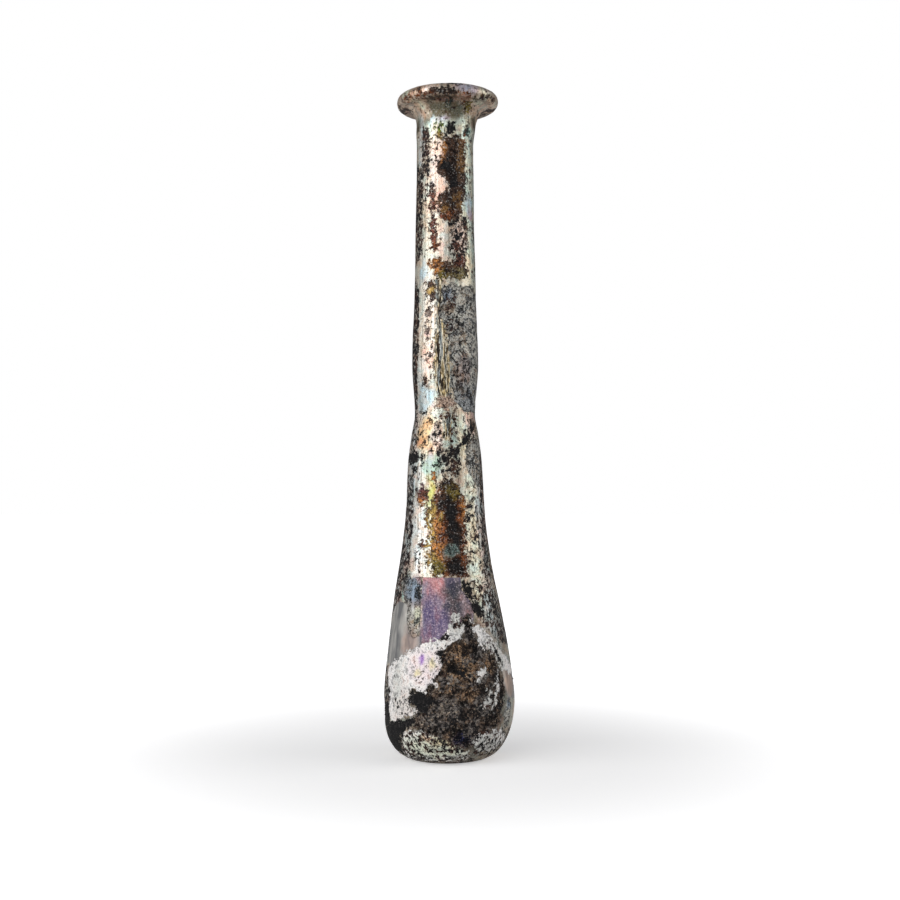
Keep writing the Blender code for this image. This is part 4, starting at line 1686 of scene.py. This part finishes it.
@dataclass(frozen=True)
class Relief:
    """How deep the weathering is cut below the turned surface, in millimetres."""

    film: float = 0.16
    film_lumps: float = 0.10
    film_ripple: float = 0.025
    soil: float = 0.25
    soil_clods: float = 0.20
    crust_stands: float = 0.05
    grey: float = 0.06
    grey_clods: float = 0.08
    smooth_layer: float = 0.07
    black: float = 0.10
    black_clods: float = 0.12
    lip: float = 0.05
    lip_lumps: float = 0.06
    lip_clods: float = 0.04
    foot_rise: float = 0.6

    def depth(
        self, place: np.ndarray, fields: dict[Field, np.ndarray], outside: np.ndarray, lip: np.ndarray
    ) -> np.ndarray:
        """How deep it is at each point.

        Args:
            place: the points, in metres.
            fields: how far inside each kind of patch they lie, in millimetres.
            outside: which of them are on the outside.
            lip: which of them are on the lip's roll.

        Returns:
            Millimetres, never below 0.
        """
        drawn_out = place * np.array((1.0, 1.0, 0.12))
        lumps = sampled(place, scale=70.0, octaves=3, shift=1.0)
        ripple = sampled(drawn_out, scale=500.0, octaves=2, shift=3.0)
        clods = sampled(place, scale=650.0, octaves=4, shift=5.0)
        depth = self.film + self.film_lumps * lumps + self.film_ripple * ripple
        depth += blend(fields[Field.SOIL], 1.0) * (self.soil - self.soil_clods * np.abs(clods))
        depth -= blend(fields[Field.CRUST], 0.6) * self.crust_stands
        depth += blend(fields[Field.GREY], 0.5) * (self.grey + self.grey_clods * clods)
        depth += blend(fields[Field.VIOLET], 0.2) * self.smooth_layer
        depth += blend(fields[Field.BARE], 0.3) * self.smooth_layer
        depth += blend(fields[Field.BLACK], 0.5) * (self.black + self.black_clods * clods)
        foot = np.clip(place[:, 2] / (self.foot_rise * MM), 0.0, 1.0)
        depth = np.where(outside, np.maximum(depth, 0.0) * foot, 0.0)
        depth = np.where(lip, self.lip + self.lip_lumps * lumps + self.lip_clods * clods, depth)
        return np.maximum(depth, 0.0)


@dataclass
class Wall:
    """The blown wall with all its weathering relief, inside and out."""

    section: Section = field(default_factory=Section)
    weathering: Weathering = field(default_factory=Weathering)
    relief: Relief = Relief()
    sides: int = 200

    def turning_tree(self, material: bpy.types.Material) -> bpy.types.NodeTree:
        """A Geometry Nodes tree that turns the section round its centre line.

        Args:
            material: what the wall wears.

        Returns:
            The tree, with the input Sides.
        """
        nodes, given, made = new_group(
            "turn_the_section", {"Geometry": "Geometry", "Sides": "Int"}, {"Geometry": "Geometry"},
            "GeometryNodeTree",
        )
        section = given["Geometry"]
        count = nodes.make("GeometryNodeAttributeDomainSize", {"Geometry": section}, component="MESH")
        count = count.outputs["Point Count"]
        columns = nodes.math("ADD", given["Sides"], 1.0)
        grid = nodes.make("GeometryNodeMeshGrid", {"Vertices X": columns, "Vertices Y": count})
        here = nodes.add("GeometryNodeInputPosition").outputs[0]
        where = nodes.make("ShaderNodeSeparateXYZ", {"Vector": here}).outputs
        last = nodes.math("SUBTRACT", count, 1.0)
        row = nodes.math("ROUND", nodes.math("MULTIPLY", nodes.math("ADD", where["Y"], 0.5), last))
        angle = nodes.math("MULTIPLY", nodes.math("ADD", where["X"], 0.5), math.tau)
        sample = nodes.make(
            "GeometryNodeSampleIndex", {"Geometry": section, "Value": here, "Index": row},
            data_type="FLOAT_VECTOR", domain="POINT",
        )
        ring = nodes.make("ShaderNodeSeparateXYZ", {"Vector": sample.outputs[0]}).outputs
        across = nodes.math("MULTIPLY_ADD", ring["X"], nodes.math("SINE", angle), ring["Y"])
        back = nodes.math("MULTIPLY", nodes.math("MULTIPLY", ring["X"], nodes.math("COSINE", angle)), -1.0)
        point = nodes.make("ShaderNodeCombineXYZ", {"X": across, "Y": back, "Z": ring["Z"]}).outputs[0]
        store = nodes.make(
            "GeometryNodeStoreNamedAttribute",
            {"Geometry": grid.outputs["Mesh"], "Name": "row", "Value": row},
            data_type="FLOAT", domain="POINT",
        )
        move = nodes.make("GeometryNodeSetPosition", {"Geometry": store.outputs[0], "Position": point})
        merge = nodes.make("GeometryNodeMergeByDistance", {"Geometry": move.outputs[0], "Distance": 1e-6})
        smooth = nodes.make("GeometryNodeSetShadeSmooth", {"Geometry": merge.outputs[0]})
        nodes.dress(smooth.outputs[0], material, made["Geometry"])
        return nodes.tree

    def turned(self, material: bpy.types.Material) -> bpy.types.Mesh:
        """The wall before its relief.

        Args:
            material: what it wears.

        Returns:
            Its plain mesh.
        """
        rows, _, _ = self.section.points()
        points = bpy.data.meshes.new("section")
        points.from_pydata([tuple(row) for row in rows], [], [])
        tree = self.turning_tree(material)
        return grown(linked("section", points), tree, {"Sides": self.sides}, "vessel_wall")

    def build(self, material: bpy.types.Material) -> bpy.types.Object:
        """The wall as an object, with its relief and its painted fields.

        Args:
            material: what it wears.

        Returns:
            The wall.
        """
        mesh = self.turned(material)
        place = read_out(mesh.vertices, "co", 3)
        normal = read_out(mesh.vertices, "normal", 3)
        row = read_out(mesh.attributes["row"].data, "value")
        _, outer_rows, lip_rows = self.section.points()
        outside = row < lip_rows
        aside = place[:, 0] - self.section.centre_at(place[:, 2])
        turn = np.degrees(np.arctan2(aside, -place[:, 1]))
        radius = np.hypot(aside, place[:, 1]) / MM
        painter = Painter(Sight(self.section), place[:, 2] / MM, turn, radius)
        fields = self.fields(place, painter)
        for kind, values in fields.items():
            values = np.where(outside, values, PITS_INSIDE if kind is Field.PITS else FAR_OUTSIDE)
            layer = mesh.attributes.new(kind.value, "FLOAT", "POINT")
            layer.data.foreach_set("value", values.astype(np.float32))
        loose = painter.wandering(place, CLOUD_WANDER)
        for name, base, clouds_over in self.weathering.tints:
            colours = loose.tints(base, clouds_over)
            colours = np.column_stack((colours, np.ones(len(colours)))).astype(np.float32)
            mesh.attributes.new(name, "FLOAT_COLOR", "POINT").data.foreach_set("color", colours.ravel())
        depth = self.relief.depth(place, fields, outside, outside & (row >= outer_rows))
        carved = self.tilted(place) - normal * depth[:, None] * MM
        mesh.vertices.foreach_set("co", carved.ravel())
        mesh.update()
        return linked("vessel_wall", mesh)

    def fields(self, place: np.ndarray, painter: Painter) -> dict[Field, np.ndarray]:
        """How far inside each kind of patch every point lies, and how dense its pits are.

        Args:
            place: the points, in metres.
            painter: what works it out for them.

        Returns:
            A row of millimetres, or of densities, for each kind.
        """
        weathering = self.weathering
        astray = painter.wandering(place, HIDDEN_PATCH_WANDER)
        patchy = sampled(place, scale=210.0, octaves=4, shift=23.0)
        away = (np.abs(painter.turn) - weathering.hidden_from) / weathering.hidden_over
        away = np.clip(away, 0.0, 1.0)
        fields = {}
        for kind in Field:
            start = np.full(len(place), weathering.pits_everywhere if kind is Field.PITS else FAR_OUTSIDE)
            hidden = astray.lay(kind, weathering.other_sides, start)
            if kind is Field.PITS:
                hidden += weathering.hidden_pit_swing * patchy * away
            fields[kind] = painter.lay(kind, weathering.front, hidden)
        fields[Field.PITS] += weathering.pit_swing * patchy
        return fields

    def tilted(self, place: np.ndarray) -> np.ndarray:
        """The points with the lip tilted.

        Args:
            place: the points, in metres.

        Returns:
            Their new places.
        """
        section = self.section
        lifted = place.copy()
        share = np.clip((place[:, 2] - section.neck_top) / section.tilt_rise, 0.0, 1.0)
        share = share * share * (3 - 2 * share)
        centre = section.centre_at(place[:, 2])
        lifted[:, 2] += (place[:, 0] - centre) * math.tan(math.radians(section.lip_tilt)) * share
        return lifted


def linked(name: str, data: bpy.types.ID) -> bpy.types.Object:
    """A new object in the scene.

    Args:
        name: its name.
        data: its mesh, light or camera.

    Returns:
        The object.
    """
    made = bpy.data.objects.new(name, data)
    bpy.context.scene.collection.objects.link(made)
    return made


def read_out(layer: bpy.types.bpy_prop_collection, name: str, width: int = 1) -> np.ndarray:
    """What a mesh's layer holds.

    Args:
        layer: the mesh's vertices, or an attribute's data.
        name: which of its values is read.
        width: how many numbers that value has.

    Returns:
        A number for each item, or a row of numbers for each where width is more than 1.
    """
    values = np.empty(len(layer) * width)
    layer.foreach_get(name, values)
    return values.reshape(-1, width) if width > 1 else values


def sampled(place: np.ndarray, scale: float, octaves: int, shift: float) -> np.ndarray:
    """Layered noise from about -1 to 1 at each place, with features of 1/scale metres."""
    offset = Vector((shift, shift * 1.7, shift * 2.3))
    return np.array([noise.fractal(Vector(p) * scale + offset, 1.0, 2.1, octaves) for p in place])


def grown(
    holder: bpy.types.Object, tree: bpy.types.NodeTree, sizes: dict[str, float], name: str
) -> bpy.types.Mesh:
    """What a Geometry Nodes tree makes of an object, as a plain mesh. The object is removed.

    Args:
        holder: the object that the tree starts from.
        tree: the tree.
        sizes: the value of each of its named inputs.
        name: the mesh's name.

    Returns:
        The plain mesh.
    """
    modifier = holder.modifiers.new("grow", "NODES")
    modifier.node_group = tree
    identifiers = {s.name: s.identifier for s in tree.interface.items_tree if s.in_out == "INPUT"}
    for label, value in sizes.items():
        modifier[identifiers[label]] = value
    bpy.context.view_layer.update()
    evaluated = holder.evaluated_get(bpy.context.evaluated_depsgraph_get())
    mesh = bpy.data.meshes.new_from_object(evaluated)
    mesh.name = name
    bpy.data.objects.remove(holder)
    return mesh


@dataclass
class SoilCrumbs:
    """Loose crumbs that stand on the crust of soil.

    Attributes:
        density: crumbs to a square metre.
        radius: an average crumb's, in metres.
        smallest: the smallest crumb's share of it.
        largest: the largest crumb's share of it.
        inset: how far inside the crust's edge they start, in millimetres.
        seed: what their places are drawn from.
    """

    density: float = 1.9e6
    radius: float = 0.00022
    smallest: float = 0.45
    largest: float = 1.25
    inset: float = 0.35
    seed: int = 7

    def bed(self, wall: bpy.types.Object) -> bpy.types.Object:
        """The part of the wall that carries them.

        Args:
            wall: the finished wall.

        Returns:
            An object of its own, which carries the soil's tint.
        """
        source = wall.data
        soil = read_out(source.attributes[Field.SOIL.value].data, "value")
        crust = read_out(source.attributes[Field.CRUST.value].data, "value")
        tint = read_out(source.attributes["soil_tint"].data, "color", 4)
        places = read_out(source.vertices, "co", 3)
        bare = (soil > self.inset) & (crust < -self.inset)
        faces = [tuple(face.vertices) for face in source.polygons if bare[list(face.vertices)].all()]
        mesh = bpy.data.meshes.new("soil_bed")
        mesh.from_pydata(places.tolist(), [], faces)
        mesh.attributes.new("soil_tint", "FLOAT_COLOR", "POINT").data.foreach_set("color", tint.ravel())
        return linked("soil_bed", mesh)

    def scattering_tree(self, material: bpy.types.Material) -> bpy.types.NodeTree:
        """A Geometry Nodes tree that scatters crumbs of few faces over a mesh.

        Args:
            material: what the crumbs wear.

        Returns:
            The tree, with the inputs Density, Radius, Smallest, Largest and Seed.
        """
        inputs = {"Geometry": "Geometry", "Density": "Float", "Radius": "Float", "Smallest": "Float"}
        inputs |= {"Largest": "Float", "Seed": "Int"}
        nodes, given, made = new_group("scatter_crumbs", inputs, {"Geometry": "Geometry"}, "GeometryNodeTree")
        seed = given["Seed"]
        points = nodes.make(
            "GeometryNodeDistributePointsOnFaces",
            {"Mesh": given["Geometry"], "Density": given["Density"], "Seed": seed},
        )
        tone_seed = nodes.math("ADD", seed, 2.0)
        tone = nodes.make("FunctionNodeRandomValue", {"Seed": tone_seed}, data_type="FLOAT")
        store = nodes.make(
            "GeometryNodeStoreNamedAttribute",
            {"Geometry": points.outputs["Points"], "Name": "tone", "Value": tone.outputs[1]},
            data_type="FLOAT", domain="POINT",
        )
        crumb = nodes.make("GeometryNodeMeshIcoSphere", {"Radius": given["Radius"], "Subdivisions": 1})
        size = nodes.make(
            "FunctionNodeRandomValue", {"Min": given["Smallest"], "Max": given["Largest"], "Seed": seed},
            data_type="FLOAT_VECTOR",
        )
        whole_turn = (math.tau, math.tau, math.tau)
        turn = nodes.make(
            "FunctionNodeRandomValue", {"Max": whole_turn, "Seed": nodes.math("ADD", seed, 1.0)},
            data_type="FLOAT_VECTOR",
        )
        placed = nodes.make(
            "GeometryNodeInstanceOnPoints",
            {
                "Points": store.outputs[0],
                "Instance": crumb.outputs["Mesh"],
                "Rotation": turn.outputs[0],
                "Scale": size.outputs[0],
            },
        )
        nodes.dress(placed.outputs["Instances"], material, made["Geometry"])
        return nodes.tree

    def build(self, wall: bpy.types.Object, material: bpy.types.Material) -> bpy.types.Object:
        """All the crumbs as one object.

        Args:
            wall: the finished wall.
            material: the crumbs' finish.

        Returns:
            The crumbs.
        """
        bed = self.bed(wall)
        tree = self.scattering_tree(material)
        sizes = {
            "Density": self.density,
            "Radius": self.radius,
            "Smallest": self.smallest,
            "Largest": self.largest,
            "Seed": self.seed,
        }
        return linked("soil_crumbs", grown(bed, tree, sizes, "soil_crumbs"))


@dataclass
class Studio:
    """The plain pale floor, the soft lights and the camera."""

    eye_height: float = 0.061
    distance: float = 0.3055
    aside: float = 0.00016
    lens: float = 52.0
    upward_shift: float = 0.052
    panel_reach: float = 0.55
    aim_height: float = 0.08
    floor_reach: float = 4.0

    def camera(self) -> None:
        """The camera, level and low, where the photograph was taken from."""
        data = bpy.data.cameras.new("camera")
        data.lens = self.lens
        data.sensor_width = 36.0
        data.shift_y = self.upward_shift
        data.clip_start = 0.01
        camera = linked("camera", data)
        camera.location = (self.aside, -self.distance, self.eye_height)
        camera.rotation_euler = (math.pi / 2, 0.0, 0.0)
        bpy.context.scene.camera = camera

    def panel(
        self, name: str, turn: float, rise: float, size: tuple[float, float], power: float
    ) -> None:
        """A soft light panel that faces the vessel.

        Args:
            name: the light's name.
            turn: where it stands, in degrees from the front, positive towards +X.
            rise: how high its middle is, in metres.
            size: its width and height, in metres.
            power: its power, in watts.
        """
        data = bpy.data.lights.new(name, "AREA")
        data.shape = "RECTANGLE"
        data.size, data.size_y = size
        data.energy = power
        lamp = linked(name, data)
        angle = math.radians(turn)
        lamp.location = (self.panel_reach * math.sin(angle), -self.panel_reach * math.cos(angle), rise)
        aim = Vector((0.0, 0.0, self.aim_height)) - lamp.location
        lamp.rotation_euler = aim.to_track_quat("-Z", "Y").to_euler()

    def world(self) -> None:
        """A white background, and a dimmer, softly uneven light from all round."""
        world = bpy.data.worlds.new("studio")
        bpy.context.scene.world = world
        world.use_nodes = True
        nodes = Nodes(world.node_tree)
        background = world.node_tree.nodes["Background"]
        seen = nodes.add("ShaderNodeLightPath").outputs["Is Camera Ray"]
        ahead = nodes.add("ShaderNodeTexCoord").outputs["Generated"]
        direction = nodes.make("ShaderNodeSeparateXYZ", {"Vector": ahead})
        behind = nodes.step(direction.outputs["Y"], -0.1, 0.9)
        around = nodes.mix(behind, (0.34, 0.34, 0.35), (0.05, 0.05, 0.055))
        nodes.put(background.inputs["Color"], nodes.mix(seen, around, (1.0, 1.0, 1.0)))

    def floor(self) -> None:
        """A pale floor that fades into the background."""
        data = bpy.data.meshes.new("floor")
        reach = self.floor_reach
        corners = [(-reach, -reach, 0), (reach, -reach, 0), (reach, reach, 0), (-reach, reach, 0)]
        data.from_pydata(corners, [], [(0, 1, 2, 3)])
        material = bpy.data.materials.new("pale_floor")
        material.use_nodes = True
        shader = material.node_tree.nodes["Principled BSDF"]
        shader.inputs["Base Color"].default_value = (0.80, 0.80, 0.80, 1.0)
        shader.inputs["Roughness"].default_value = 0.7
        nodes = Nodes(material.node_tree)
        far = nodes.add("ShaderNodeVectorMath", operation="LENGTH")
        nodes.put(far.inputs[0], nodes.place())
        fade = nodes.step(far.outputs["Value"], 0.03, 0.16)
        seen = nodes.add("ShaderNodeLightPath").outputs["Is Camera Ray"]
        shader.inputs["Emission Color"].default_value = (1.0, 1.0, 1.0, 1.0)
        glow = nodes.math("MULTIPLY", nodes.between(fade, 0.42, 1.0), seen)
        nodes.put(shader.inputs["Emission Strength"], glow)
        data.materials.append(material)
        floor = linked("floor", data)

    def build(self) -> None:
        """Sets up everything."""
        self.camera()
        self.world()
        self.floor()
        self.panel("left_softbox", -46.0, 0.16, (0.86, 0.7), 4.1)
        self.panel("right_fill", 82.0, 0.14, (0.45, 0.6), 1.3)
        bpy.context.scene.view_settings.view_transform = "Standard"


def main() -> None:
    """Builds the vessel and the studio."""
    logging.basicConfig(level=logging.INFO, format="%(name)s: %(message)s")
    Studio().build()
    soil = SoilFinish()
    wall = Wall().build(WeatheredGlass().build(Effects(), soil))
    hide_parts("vessel")
    crumbs = SoilCrumbs().build(wall, soil.build())
    for piece in (wall, crumbs):
        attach(piece, "root")
        LOG.info("%s: %d faces", piece.name, len(piece.data.polygons))


if __name__ == "__main__":
    main()
